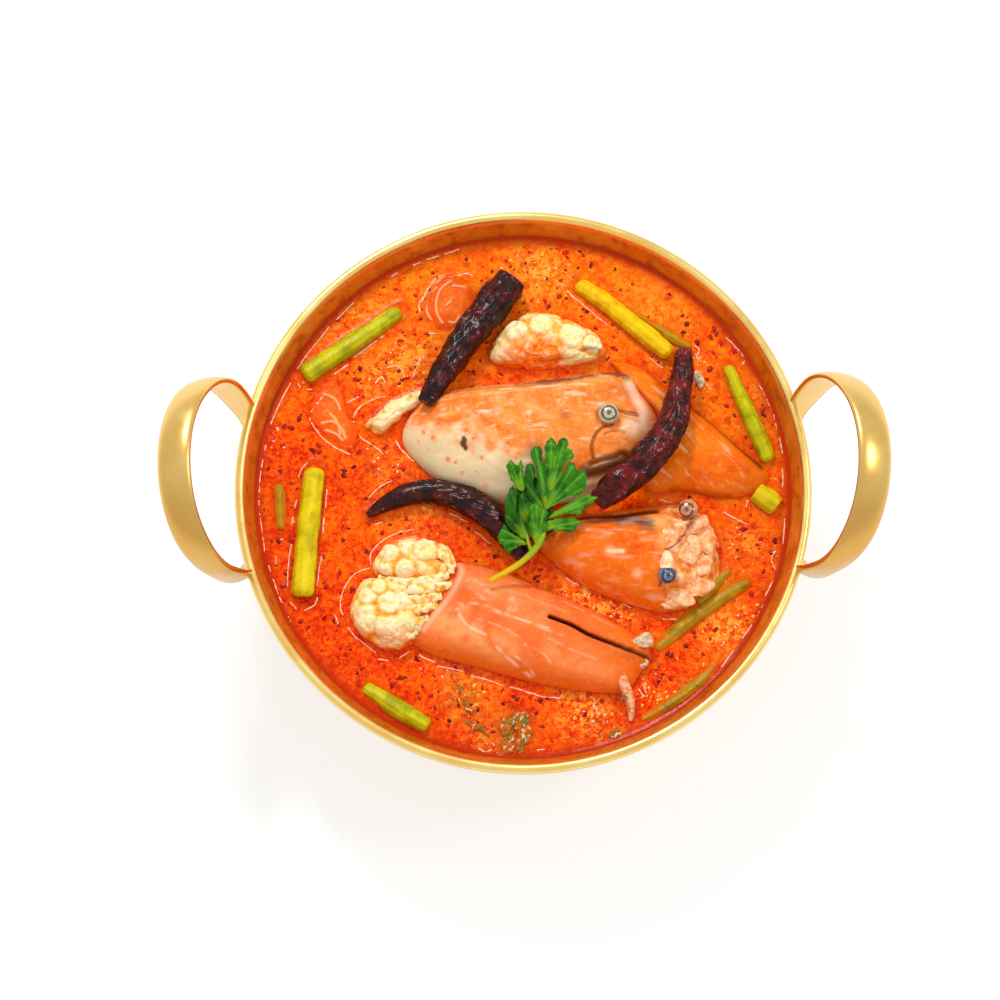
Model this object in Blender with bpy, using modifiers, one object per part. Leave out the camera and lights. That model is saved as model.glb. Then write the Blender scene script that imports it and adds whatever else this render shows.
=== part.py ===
"""Tom yum soup in its two-handled brass pot.

Metres, +Z up.  The origin is the middle of the pot's flat base.  X runs from handle to handle,
and -Y is the side that faces the diner.
"""

from math import asin, atan2, cos, hypot, pi, radians, sin

import bmesh
import bpy
from mathutils import Matrix, Vector

MM = 0.001

# Pot
RIM_RADIUS = 0.100
POT_HEIGHT = 0.062
BEAD_RADIUS = 0.0017
WALL_THICKNESS = 0.0014
BASE_RADIUS = 0.052
WALL_LEAN = radians(18)
STRAIGHT_WALL = 0.027  # how far the wall runs down before it starts to round
BASE_SWEEP = 0.022  # how wide the wall's foot sweeps in to the base
TUCK = 0.0002  # how far the wall's top lies inside the bead
TURN_STEPS = 36

# Broth
BROTH_LEVEL = 0.0516
GAP = 0.0003
WELD = 0.00001

# Handles
STRAP_WIDTH = 0.012
STRAP_THICKNESS = 0.0028
STRAP_EDGE = 0.0009
LOOP_HALF_WIDTH = 0.0329
LOOP_RISE = 0.0335
LOOP_TILT = radians(67)
FOOT_HALF_SPREAD = 0.0235
FOOT_HEIGHT = 0.0550
FOOT_LEAN = radians(24)
FOOT_FLARE = 0.22
STRAP_STEPS = 24
OVERRUN = 1.12  # share of the loop that is made, so that the feet run into the pot and are trimmed there

# name: base colour, metallic, roughness
FINISHES = {
    "brass": ((0.78, 0.53, 0.17), 1.0, 0.28),
    "broth": ((0.80, 0.16, 0.01), 0.0, 0.12),
    "prawn_shell": ((0.85, 0.35, 0.15), 0.0, 0.25),
    "prawn_meat": ((0.90, 0.72, 0.45), 0.0, 0.35),
    "dried_chili": ((0.10, 0.01, 0.01), 0.0, 0.25),
    "green_stem": ((0.45, 0.50, 0.04), 0.0, 0.30),
    "coriander": ((0.10, 0.30, 0.02), 0.0, 0.45),
    "mushroom": ((0.80, 0.35, 0.12), 0.0, 0.30),
}

# Outlines of the prawn and mushroom pieces where they meet the broth, in millimetres, anticlockwise:
# name: finish, height above the broth, depth below it, outline
LUMPS = {
    "prawn_head_upper": (
        "prawn_shell", 13.5, 14,
        [(-42, 18), (-31, 5), (-18.5, -0.4), (-6, -5), (13, -4.5), (28, -1), (40, 6), (47, 18),
         (47.5, 28), (41.5, 37), (36, 41.8), (13, 39.8), (-8, 38), (-29, 35), (-38, 30)],
    ),
    "prawn_head_right": (
        "prawn_shell", 13, 13,
        [(4, -17.5), (12.5, -27.5), (26, -36.5), (43, -42.5), (54, -43), (65, -37), (68.5, -26),
         (67, -15.5), (58, -5.5), (41, -6.5), (27, -8), (13, -10)],
    ),
    "prawn_shell_front": (
        "prawn_shell", 11, 13,
        [(-26, -26), (-38, -39), (-41, -50), (-33, -57), (-15, -62.5), (5, -68), (22, -71),
         (34, -71), (40, -64), (43.5, -59), (39.5, -52.5), (22.5, -42), (5.5, -34.5), (-8, -28.5)],
    ),
    "prawn_meat_front_upper": (
        "prawn_meat", 10, 9,
        [(-31, -35), (-24, -27.5), (-26, -21), (-36, -16.8), (-48, -19.5), (-52, -28), (-43, -33)],
    ),
    "prawn_meat_front_lower": (
        "prawn_meat", 9.5, 9,
        [(-39, -53.5), (-30, -45), (-34, -36), (-46, -31), (-55, -32), (-59.5, -40), (-57, -49), (-48, -55)],
    ),
    "prawn_meat_back": (
        "prawn_meat", 8.5, 9,
        [(-11, 50), (-7.5, 45.5), (6.5, 44.5), (22, 46.3), (29.7, 50), (27.5, 55.5), (17, 61.7),
         (5, 64.4), (-6, 59.4)],
    ),
    "prawn_meat_left": (
        "prawn_meat", 5, 6,
        [(-55, 24), (-50, 21.3), (-43, 27.4), (-34.5, 32.7), (-34.5, 37), (-45, 33), (-52, 27.5)],
    ),
    "prawn_shell_right": (
        "prawn_shell", 8, 10,
        [(31, 46.5), (40, 38), (47, 27), (49.8, 17), (41, 6.5), (44, -0.7), (58, -0.8), (68.5, -3),
         (81, -1.2), (86, 5.5), (76, 15), (62, 28), (52, 35.5), (41.5, 44.6)],
    ),
    "mushroom_upper": (
        "mushroom", 3, 5,
        [(-34, 66), (-27, 60.5), (-18.5, 63), (-17, 71), (-20, 77), (-28, 78)],
    ),
    "mushroom_left": (
        "mushroom", 3.5, 5,
        [(-75, 31), (-71, 23), (-60.5, 15.5), (-58, 22), (-61.5, 29), (-63, 37), (-68, 43)],
    ),
    "herb_front": (
        "green_stem", 2.2, 3.5,
        [(-9, -83), (-7, -91.5), (-1, -91), (2, -87), (1.5, -78.5), (-4, -78)],
    ),
}

# Routes of the long pieces, in millimetres from the broth's level: name: finish, [(x, y, z, radius), ...]
RODS = {
    "dried_chili_upper": (
        "dried_chili",
        [(-31.5, 34.5, 9, 2.0), (-29, 39, 8.5, 4.0), (-23.5, 50, 7, 5.4), (-18, 60.5, 6, 5.8),
         (-10.5, 71, 5.5, 6.0), (-4.5, 77.5, 5.5, 4.6)],
    ),
    "dried_chili_left": (
        "dried_chili",
        [(-53.5, -7.3, 1.5, 1.6), (-48, -3.6, 2, 3.4), (-39, -0.6, 2.2, 4.6), (-29, 0, 2.5, 4.8),
         (-20, -2.6, 3.5, 4.6), (-12.5, -8.3, 5, 4.4), (-5.5, -16.5, 6, 4.2), (0.5, -24.5, 6, 3.0)],
    ),
    "dried_chili_right": (
        "dried_chili",
        [(56.3, 45, 10, 3.4), (55.8, 37, 11, 5.4), (53, 26, 13, 6.2), (47.5, 15.3, 15, 6.4),
         (40.4, 6.5, 15.5, 6.2), (33.5, -0.8, 14.5, 5.0), (27.5, -6.0, 13.5, 3.4)],
    ),
    "prawn_leg": (
        "prawn_shell",
        [(33.3, -76.0, 0.5, 1.6), (34.6, -79.5, 1, 1.8), (35.2, -84.0, 0.5, 1.0)],
    ),
    "green_stem_upper_left": ("green_stem", [(-77, 42.5, 1, 3.4), (-60.6, 53.6, 1.5, 3.4), (-43, 66.3, 1, 3.2)]),
    "green_stem_left": ("green_stem", [(-72.6, 8.5, 1.5, 3.8), (-75, -13.7, 2, 3.9), (-76.8, -37, 1.5, 4.2)]),
    "green_stem_far_left": ("green_stem", [(-85.0, 3.5, 0, 2.2), (-85.2, -5.8, 0.3, 2.3), (-85.0, -12.9, 0, 2.0)]),
    "green_stem_upper_right": (
        "green_stem",
        [(20, 75.3, 1.5, 2.6), (28, 70, 2, 3.1), (37.2, 62.0, 2.5, 3.2), (46.2, 54.2, 2.5, 3.2), (52.5, 48.8, 2, 2.8)],
    ),
    "green_stem_right": (
        "green_stem",
        [(72.8, 44.9, 1, 2.0), (77.4, 32.5, 1.5, 2.6), (82.3, 20.4, 1.5, 2.8), (86.2, 10.0, 1, 2.8)],
    ),
    "green_stem_short_right": ("green_stem", [(82, -1.7, 0.8, 2.8), (85.7, -4.4, 1, 3.3), (88.4, -6.4, 0.6, 2.8)]),
    "green_stem_lower_left": (
        "green_stem",
        [(-54.3, -69.5, 1, 2.4), (-43.5, -76.3, 1.5, 3.1), (-33.4, -82.6, 1, 2.5)],
    ),
}
ROD_SIDES = 4
SPREAD_POWER = 0.8
RISE_POWER = 1.1

# Pieces that hold back a little of one beside or under them: (piece that is cut, piece that it makes room for)
MAKES_ROOM = [
    ("prawn_shell_front", "prawn_meat_front_upper"),
    ("prawn_shell_front", "prawn_meat_front_lower"),
    ("prawn_meat_front_lower", "prawn_meat_front_upper"),
    ("prawn_shell_right", "prawn_head_upper"),
    ("prawn_shell_right", "prawn_head_right"),
    ("prawn_meat_left", "prawn_head_upper"),
    ("prawn_head_upper", "dried_chili_left"),
    ("prawn_head_upper", "dried_chili_upper"),
    ("prawn_head_upper", "dried_chili_right"),
    ("prawn_head_right", "dried_chili_left"),
    ("prawn_head_right", "dried_chili_right"),
    ("prawn_shell_right", "dried_chili_right"),
    ("prawn_meat_left", "dried_chili_upper"),
    ("mushroom_upper", "dried_chili_upper"),
    ("prawn_meat_back", "dried_chili_upper"),
    ("prawn_meat_back", "prawn_head_upper"),
    ("prawn_shell_right", "green_stem_upper_right"),
    ("prawn_shell_right", "green_stem_short_right"),
    ("mushroom_left", "green_stem_upper_left"),
    ("mushroom_left", "green_stem_left"),
    ("prawn_shell_front", "dried_chili_left"),
]

# Coriander sprig, in millimetres: the stalk's route (x, y, z above the broth, radius), and the leaves
# (x, y, z, radius, lobes, turn in degrees)
STALK = [
    (-11.8, -34.6, 13.2, 0.9), (-5, -32.6, 14, 1.0), (1.5, -26.5, 15, 1.0), (5, -16, 16.5, 0.9), (7, -4, 18.2, 0.8),
]
LEAVES = [
    (6.5, 8.0, 18.5, 7.5, 5, 80),
    (-1.0, 1.5, 18.3, 7.0, 5, 150),
    (14.5, 1.5, 18.5, 7.0, 5, 20),
    (18.5, -8.5, 18.3, 6.0, 5, -30),
    (-2.0, -11.5, 17.6, 8.0, 5, 215),
    (9.0, -9.0, 18.0, 9.0, 5, -60),
]
LEAF_THICKNESS = 0.0016


def clear_scene():
    for old in list(bpy.data.objects):
        bpy.data.objects.remove(old, do_unlink=True)


def new_collection(name):
    group = bpy.data.collections.new(name)
    bpy.context.scene.collection.children.link(group)
    return group


def make_material(name):
    colour, metallic, roughness = FINISHES[name]
    material = bpy.data.materials.new(name)
    material.use_nodes = True
    shader = material.node_tree.nodes["Principled BSDF"]
    shader.inputs["Base Color"].default_value = (*colour, 1.0)
    shader.inputs["Metallic"].default_value = metallic
    shader.inputs["Roughness"].default_value = roughness
    material.diffuse_color = (*colour, 1.0)
    return material


def add_object(name, data, group, finish=None):
    thing = bpy.data.objects.new(name, data)
    group.objects.link(thing)
    if finish:
        data.materials.append(MATERIALS[finish])
    return thing


def mesh_from(bm, name):
    bmesh.ops.recalc_face_normals(bm, faces=bm.faces)
    mesh = bpy.data.meshes.new(name)
    bm.to_mesh(mesh)
    bm.free()
    mesh.shade_smooth()
    return mesh


def arc(centre, radius, start, end, steps):
    """Points of an arc in the r-z plane, from one angle to another, in degrees."""
    angles = [radians(start + (end - start) * i / steps) for i in range(steps + 1)]
    return [(centre[0] + radius * cos(a), centre[1] + radius * sin(a)) for a in angles]


def bezier(start, first, second, end, steps):
    points = []
    for i in range(steps + 1):
        t = i / steps
        weights = ((1 - t) ** 3, 3 * t * (1 - t) ** 2, 3 * t * t * (1 - t), t ** 3)
        parts = [w * Vector(p) for w, p in zip(weights, (start, first, second, end))]
        points.append(tuple(sum(parts, Vector((0, 0)))))
    return points


def wall_line(inset, steps=7):
    """The wall's curve from the rim down to the base, moved inwards by inset; (r, z) points."""
    top = (RIM_RADIUS - BEAD_RADIUS - TUCK, POT_HEIGHT - BEAD_RADIUS)
    lean = (sin(WALL_LEAN), cos(WALL_LEAN))
    shoulder = (top[0] - STRAIGHT_WALL * lean[0], top[1] - STRAIGHT_WALL * lean[1])
    foot = (BASE_RADIUS + BASE_SWEEP, 0.0)
    line = bezier(top, shoulder, foot, (BASE_RADIUS, 0.0), steps)
    moved = []
    for i, point in enumerate(line):
        before = line[max(i - 1, 0)]
        after = line[min(i + 1, steps)]
        along = Vector(after) - Vector(before)
        inwards = Vector((along.y, -along.x)).normalized()
        if inwards.x > 0:
            inwards.negate()
        moved.append((point[0] + inset * inwards.x, max(point[1] + inset * inwards.y, inset)))
    return moved


def wall_radius(height, inset=0.0):
    """The wall's radius at a height, on the curve moved inwards by inset."""
    line = wall_line(inset, 24)
    for (r1, z1), (r2, z2) in zip(line, line[1:]):
        if z2 <= height <= z1:
            return r2 + (r1 - r2) * (height - z2) / max(z1 - z2, 1e-9)
    return line[0][0]


def turned(name, profile, group, finish):
    """A solid turned about Z from a profile that starts and ends on the axis."""
    bm = bmesh.new()
    corners = [bm.verts.new((r, 0.0, z)) for r, z in profile]
    for a, b in zip(corners, corners[1:]):
        bm.edges.new((a, b))
    mesh = bpy.data.meshes.new(name)
    bm.to_mesh(mesh)
    bm.free()
    thing = add_object(name, mesh, group, finish)
    screw = thing.modifiers.new("Turn", "SCREW")
    screw.axis = "Z"
    screw.steps = TURN_STEPS
    screw.render_steps = TURN_STEPS
    screw.use_merge_vertices = True
    screw.merge_threshold = WELD
    screw.use_smooth_shade = True
    return thing


def pot_profile():
    """Up the inside of the wall, over the rolled bead and down the outside."""
    inside = list(reversed(wall_line(WALL_THICKNESS)))
    outside = wall_line(0.0)
    bead_centre = (RIM_RADIUS - BEAD_RADIUS, POT_HEIGHT - BEAD_RADIUS)
    bead = arc(bead_centre, BEAD_RADIUS, 180, -75, 7)
    return [(0.0, WALL_THICKNESS)] + inside[:-1] + bead + outside[1:] + [(0.0, 0.0)]


def broth_profile():
    inset = WALL_THICKNESS + GAP
    side = [point for point in wall_line(inset) if point[1] < BROTH_LEVEL - 0.002]
    edge = (wall_radius(BROTH_LEVEL, inset), BROTH_LEVEL)
    return [(0.0, BROTH_LEVEL), edge] + side + [(0.0, inset)]


def evaluated_mesh(thing):
    graph = bpy.context.evaluated_depsgraph_get()
    graph.update()
    mesh = bpy.data.meshes.new_from_object(thing.evaluated_get(graph))
    mesh.name = thing.name
    return mesh


def to_mesh_object(thing, group, finish):
    """Replaces a curve with its welded mesh."""
    mesh = evaluated_mesh(thing)
    placed = thing.matrix_world.copy()
    name = thing.name
    bpy.data.objects.remove(thing, do_unlink=True)
    bm = bmesh.new()
    bm.from_mesh(mesh)
    bmesh.ops.remove_doubles(bm, verts=bm.verts, dist=WELD)
    bmesh.ops.recalc_face_normals(bm, faces=bm.faces)
    bm.to_mesh(mesh)
    bm.free()
    mesh.materials.clear()
    solid = add_object(name, mesh, group, finish)
    solid.matrix_world = placed
    return solid


def grown(thing, by):
    """A hidden copy of a piece, swollen along its normals, that cuts room for the piece."""
    mesh = evaluated_mesh(thing)
    bm = bmesh.new()
    bm.from_mesh(mesh)
    bmesh.ops.remove_doubles(bm, verts=bm.verts, dist=WELD)
    bmesh.ops.recalc_face_normals(bm, faces=bm.faces)
    bm.normal_update()
    for vert in bm.verts:
        vert.co += vert.normal * by * vert.calc_shell_factor()
    bm.to_mesh(mesh)
    bm.free()
    cutter = add_object("room_for_" + thing.name, mesh, CUTTERS)
    cutter.hide_render = True
    cutter.display_type = "WIRE"
    return cutter


def cut(thing, cutter):
    boolean = thing.modifiers.new("Room " + cutter.name, "BOOLEAN")
    boolean.operation = "DIFFERENCE"
    boolean.object = cutter
    boolean.solver = "EXACT"
    return boolean


def smooth_loop(points, steps=6):
    """A closed Catmull-Rom curve through the points."""
    count = len(points)
    loop = []
    for i in range(count):
        p0, p1, p2, p3 = (Vector(points[(i + k) % count]) for k in (-1, 0, 1, 2))
        for j in range(steps):
            t = j / steps
            bend = (2 * p0 - 5 * p1 + 4 * p2 - p3) * t * t + (3 * p1 - p0 - 3 * p2 + p3) * t ** 3
            loop.append(0.5 * (2 * p1 + (p2 - p0) * t + bend))
    return loop


def reach(loop, centre, angle):
    """How far the loop lies from the centre in a direction."""
    ray = Vector((cos(angle), sin(angle)))
    best = 0.0
    for a, b in zip(loop, loop[1:] + loop[:1]):
        edge = b - a
        cross = ray.x * edge.y - ray.y * edge.x
        if abs(cross) < 1e-9:
            continue
        start = a - centre
        along = (start.x * edge.y - start.y * edge.x) / cross
        share = (start.x * ray.y - start.y * ray.x) / cross
        if along > best and -1e-6 <= share <= 1 + 1e-6:
            best = along
    return best


def lump(name, finish, height, depth, outline):
    """A rounded piece: full at the broth's level, domed above it and below it."""
    loop = smooth_loop(outline)
    centre = sum(loop, Vector((0, 0))) / len(loop)
    bm = bmesh.new()
    segments = 20 if len(outline) > 9 else 12
    bmesh.ops.create_uvsphere(bm, u_segments=segments, v_segments=8, radius=1.0)
    for vert in bm.verts:
        flat = hypot(vert.co.x, vert.co.y)
        angle = atan2(vert.co.y, vert.co.x)
        spread = reach(loop, centre, angle) * flat ** SPREAD_POWER
        tall = height if vert.co.z > 0 else depth
        rise = abs(vert.co.z) ** RISE_POWER * (1 if vert.co.z > 0 else -1)
        x = centre.x + spread * cos(angle)
        y = centre.y + spread * sin(angle)
        vert.co = Vector((x, y, 0)) * MM + Vector((0, 0, BROTH_LEVEL + tall * rise * MM))
    return add_object(name, mesh_from(bm, name), SOUP, finish)


def rod(name, finish, route):
    """A long piece: a smooth route with its own radius at each point."""
    curve = bpy.data.curves.new(name, "CURVE")
    curve.dimensions = "3D"
    curve.resolution_u = 2
    curve.bevel_depth = MM
    curve.bevel_resolution = ROD_SIDES - 2
    curve.use_fill_caps = True
    spline = curve.splines.new("BEZIER")
    spline.bezier_points.add(len(route) - 1)
    for point, (x, y, z, radius) in zip(spline.bezier_points, route):
        point.co = Vector((x, y, z)) * MM + Vector((0, 0, BROTH_LEVEL))
        point.handle_left_type = "AUTO"
        point.handle_right_type = "AUTO"
        point.radius = radius
    thing = add_object(name, curve, SOUP)
    return to_mesh_object(thing, SOUP, finish)


def leaf(x, y, z, radius, lobes, turn):
    """A flat lobed leaf."""
    bm = bmesh.new()
    made = bmesh.ops.create_cone(
        bm, cap_ends=True, segments=lobes * 4, radius1=1.0, radius2=1.0, depth=LEAF_THICKNESS
    )
    for vert in made["verts"]:
        angle = atan2(vert.co.y, vert.co.x)
        size = radius * MM * (0.80 + 0.20 * cos(lobes * angle))
        vert.co.x = size * cos(angle)
        vert.co.y = size * sin(angle)
    place = Matrix.Translation((x * MM, y * MM, BROTH_LEVEL + z * MM)) @ Matrix.Rotation(radians(turn), 4, "Z")
    bmesh.ops.transform(bm, matrix=place, verts=bm.verts)
    return bm


def coriander():
    """A stalk with its leaves, joined into one piece."""
    stalk = rod("coriander_sprig", "coriander", STALK)
    for number, values in enumerate(LEAVES):
        shape = add_object(f"leaf_{number}", mesh_from(leaf(*values), f"leaf_{number}"), CUTTERS)
        shape.hide_render = True
        shape.display_type = "WIRE"
        union = stalk.modifiers.new(f"Leaf {number}", "BOOLEAN")
        union.operation = "UNION"
        union.object = shape
        union.solver = "EXACT"
    return stalk


def strap_section():
    """Half-round strap section as (across, out) points: flat inside, domed outside."""
    half = STRAP_WIDTH / 2
    crown = STRAP_THICKNESS - STRAP_EDGE
    dome = [(half * cos(a), STRAP_EDGE + crown * sin(a)) for a in (radians(d) for d in range(0, 181, 36))]
    flat = [(-half, 0.0), (half, 0.0)]
    return dome + flat


def strap_frame(share):
    """Place, outward and across directions on the right handle's loop, for share from -1 to 1."""
    end_angle = pi - asin(FOOT_HALF_SPREAD / LOOP_HALF_WIDTH)
    angle = share * end_angle
    rise = Vector((cos(LOOP_TILT), 0, sin(LOOP_TILT)))
    side = Vector((0, 1, 0))
    foot_radius = wall_radius(FOOT_HEIGHT)
    foot = Vector(((foot_radius ** 2 - FOOT_HALF_SPREAD ** 2) ** 0.5, 0, FOOT_HEIGHT))
    place = foot + rise * LOOP_RISE * (cos(angle) - cos(end_angle)) + side * LOOP_HALF_WIDTH * sin(angle)
    along = (-rise * LOOP_RISE * sin(angle) + side * LOOP_HALF_WIDTH * cos(angle)).normalized()
    turn = min(max((abs(share) - 0.35) / 0.65, 0.0), 1.0)
    turn = turn * turn * (3 - 2 * turn)
    lean = LOOP_TILT + (FOOT_LEAN - LOOP_TILT) * turn
    across = Vector((-sin(lean), 0, cos(lean)))
    across = (across - along * across.dot(along)).normalized()
    return place, along.cross(across), across


def handle(name, mirrored):
    """A strap bent into a loop whose feet spread where they meet the wall."""
    section = strap_section()
    bm = bmesh.new()
    rings = []
    for step in range(STRAP_STEPS + 1):
        share = OVERRUN * (2 * step / STRAP_STEPS - 1)
        place, out, across = strap_frame(share)
        flare = 1 + FOOT_FLARE * min(max((abs(share) - 0.75) / 0.25, 0.0), 1.0) ** 2
        ends = step in (0, STRAP_STEPS)
        ring = bmesh.ops.create_circle(bm, cap_ends=ends, segments=len(section), radius=1.0)["verts"]
        for vert, (width, depth) in zip(ring, section):
            vert.co = place + across * width * flare + out * (depth - STRAP_THICKNESS / 2)
        rings.append(ring)
    for before, after in zip(rings, rings[1:]):
        edges = {edge for vert in before + after for edge in vert.link_edges}
        loops = [edge for edge in edges if set(edge.verts) <= set(before) or set(edge.verts) <= set(after)]
        bmesh.ops.bridge_loops(bm, edges=loops)
    if mirrored:
        bmesh.ops.scale(bm, vec=(-1, 1, 1), verts=bm.verts)
    bmesh.ops.remove_doubles(bm, verts=bm.verts, dist=0.000001)
    strap = add_object(name, mesh_from(bm, name), SOUP, "brass")
    cut(strap, POT_OUTSIDE)
    return strap


def pot_outside():
    """The pot's outer form, swollen by the gap, that trims the handles' feet."""
    bead_centre = (RIM_RADIUS - BEAD_RADIUS, POT_HEIGHT - BEAD_RADIUS)
    bead = arc(bead_centre, BEAD_RADIUS + GAP, 90, -75, 5)
    outside = wall_line(-GAP)
    profile = [(0.0, POT_HEIGHT + GAP)] + bead + outside[1:] + [(0.0, -GAP)]
    solid = turned("pot_outside", profile, CUTTERS, None)
    solid.hide_render = True
    solid.display_type = "WIRE"
    return solid


clear_scene()
SOUP = new_collection("tom_yum_soup")
CUTTERS = new_collection("cutters")
MATERIALS = {name: make_material(name) for name in FINISHES}

turned("pot", pot_profile(), SOUP, "brass")
POT_OUTSIDE = pot_outside()
handle("handle_right", mirrored=False)
handle("handle_left", mirrored=True)

pieces = {name: lump(name, *values) for name, values in LUMPS.items()}
pieces.update({name: rod(name, *values) for name, values in RODS.items()})
coriander()

rooms = {name: grown(piece, GAP * 1.1) for name, piece in pieces.items()}
for name, neighbour in MAKES_ROOM:
    cut(pieces[name], rooms[neighbour])

broth = turned("broth", broth_profile(), SOUP, "broth")
for name in pieces:
    cut(broth, rooms[name])
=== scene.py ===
"""Looks of the tom yum soup in its two-handled brass pot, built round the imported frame."""

from itertools import product
from math import asin, cos, pi, radians, sin

import bmesh
import bpy
import numpy as np
from mathutils import Matrix, Vector


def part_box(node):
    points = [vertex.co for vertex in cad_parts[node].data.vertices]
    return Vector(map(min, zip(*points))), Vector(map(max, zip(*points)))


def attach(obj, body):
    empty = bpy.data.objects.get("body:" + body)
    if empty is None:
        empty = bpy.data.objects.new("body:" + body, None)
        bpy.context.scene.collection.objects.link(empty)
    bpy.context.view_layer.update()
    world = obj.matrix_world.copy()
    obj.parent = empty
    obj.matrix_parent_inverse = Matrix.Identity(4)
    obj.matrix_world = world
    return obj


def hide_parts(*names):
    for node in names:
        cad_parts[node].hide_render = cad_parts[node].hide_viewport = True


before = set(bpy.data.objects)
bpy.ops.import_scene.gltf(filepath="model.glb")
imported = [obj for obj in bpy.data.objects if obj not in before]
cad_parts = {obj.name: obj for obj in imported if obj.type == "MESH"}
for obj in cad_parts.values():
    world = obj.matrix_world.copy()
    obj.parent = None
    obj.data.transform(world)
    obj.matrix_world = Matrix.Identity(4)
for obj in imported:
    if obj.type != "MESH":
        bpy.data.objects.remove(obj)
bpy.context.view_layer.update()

MM = 0.001

# ---------------------------------------------------------------- sizes from the frame
RIM_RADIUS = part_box("pot")[1].x
POT_HEIGHT = 0.062
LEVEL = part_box("broth")[1].z
BROTH_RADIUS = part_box("broth")[1].x
BEAD_RADIUS = 0.0017
WALL_THICKNESS = 0.0014
BASE_RADIUS = 0.052
WALL_LEAN = radians(18)
STRAIGHT_WALL = 0.027
BASE_SWEEP = 0.022
TUCK = 0.0002

STRAP_WIDTH = 0.012
STRAP_THICKNESS = 0.0028
STRAP_EDGE = 0.0009
LOOP_HALF_WIDTH = 0.0329
LOOP_RISE = 0.0335
LOOP_TILT = radians(67)
FOOT_HALF_SPREAD = 0.0235
FOOT_HEIGHT = 0.0550
FOOT_LEAN = radians(24)
FOOT_FLARE = 0.22
RIM_SKIRT = 0.0046
DIP_REACH = 0.008
FLARE_START = 0.75
SECTION_CORNER = 0.0003

# ---------------------------------------------------------------- sizes of the food, in millimetres
CLEAR_RADIUS = 91.5
SCATTER_HALF = 91
FOAM_HEIGHT = 0.10
FOAM_RADIUS = 0.24
BROTH_OVERLAP = 0.0009
BROTH_RINGS = 44

# ---------------------------------------------------------------- small helpers


def srgb(red, green, blue):
    """A linear colour from display values of 0 to 255."""
    channels = []
    for value in (red, green, blue):
        share = value / 255
        channels.append(share / 12.92 if share <= 0.04045 else ((share + 0.055) / 1.055) ** 2.4)
    return (*channels, 1.0)


def smoothstep(low, high, value):
    share = np.clip((value - low) / (high - low), 0, 1)
    return share * share * (3 - 2 * share)


def lattice_numbers(cells, seed):
    """Three numbers from 0 to 1 for each whole-number cell, the same on every run."""
    code = cells @ np.array([73856093, 19349663, 83492791]) + int(seed * 9781)
    code = ((code ^ (code >> 15)) * 224682251) & 0xFFFFFFFF
    code = ((code ^ (code >> 13)) * 326648991) & 0xFFFFFFFF
    code ^= code >> 16
    return np.stack([code & 1023, (code >> 10) & 1023, (code >> 20) & 1023], axis=1) / 1023


def bump_noise(points, scale, octaves=3, seed=0.0):
    """Smooth noise from about -1 to 1 at each point; scale is the size of a feature, in millimetres."""
    total = np.zeros(len(points))
    size, strength = scale, 1.7
    for octave in range(octaves):
        place = points / size + seed * 3.7 + octave * 11.3
        cell = np.floor(place).astype(np.int64)
        part = place - cell
        fade = part ** 3 * (part * (part * 6 - 15) + 10)
        for corner in product((0, 1), repeat=3):
            offset = np.array(corner)
            slope = lattice_numbers(cell + offset, seed + octave) * 2 - 1
            weight = np.prod(np.where(offset, fade, 1 - fade), axis=1)
            total += strength * weight * np.sum(slope * (part - offset), axis=1)
        size, strength = size / 2.1, strength / 2.1
    return total


def domes(points, size, seed=0.0):
    """Round swellings packed side by side: 1 on top of each and 0 in the creases between them."""
    place = points / size + seed * 3.7
    cell = np.floor(place).astype(np.int64)
    nearest = np.full(len(points), 9.0)
    for neighbour in product((-1, 0, 1), repeat=3):
        near = cell + np.array(neighbour)
        centre = near + 0.15 + 0.7 * lattice_numbers(near, seed)
        nearest = np.minimum(nearest, np.linalg.norm(place - centre, axis=1))
    return np.sqrt(np.clip(1 - (nearest / 0.8) ** 2, 0, 1))


def distance_to_path(points, path, reach=1e9):
    """Distance from each point to a polyline, seen from above; a point further off than reach gets reach."""
    path = np.array([p[:2] for p in path], float)
    best = np.full(len(points), float(reach))
    near = np.all(
        (points[:, :2] > path.min(axis=0) - reach) & (points[:, :2] < path.max(axis=0) + reach), axis=1
    )
    flat = points[near, :2]
    away = best[near]
    for a, b in zip(path[:-1], path[1:]):
        edge = b - a
        share = np.clip(((flat - a) @ edge) / max(edge @ edge, 1e-12), 0, 1)
        away = np.minimum(away, np.hypot(*(flat - a - share[:, None] * edge).T))
    best[near] = away
    return best


def smooth_path(points, steps=10, closed=False):
    """A Catmull-Rom curve through the points."""
    points = np.array(points, float)
    count = len(points)
    curve = []
    for i in range(count if closed else count - 1):
        picks = [(i + k) % count if closed else min(max(i + k, 0), count - 1) for k in (-1, 0, 1, 2)]
        p0, p1, p2, p3 = points[picks]
        for t in np.arange(steps) / steps:
            bend = (2 * p0 - 5 * p1 + 4 * p2 - p3) * t * t + (3 * p1 - p0 - 3 * p2 + p3) * t ** 3
            curve.append(0.5 * (2 * p1 + (p2 - p0) * t + bend))
    if not closed:
        curve.append(points[-1])
    return np.array(curve)


def stroke(points, path, width, soft=0.5):
    """1 on a painted line of that width, falling to 0 beside it."""
    away = distance_to_path(points, smooth_path(path, 6), width)
    return 1 - smoothstep(width * (1 - soft) / 2, width * (1 + soft) / 2, away)


def spot(points, centre, radius, soft=0.4):
    away = np.hypot(points[:, 0] - centre[0], points[:, 1] - centre[1])
    return 1 - smoothstep(radius * (1 - soft), radius * (1 + soft), away)


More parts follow.
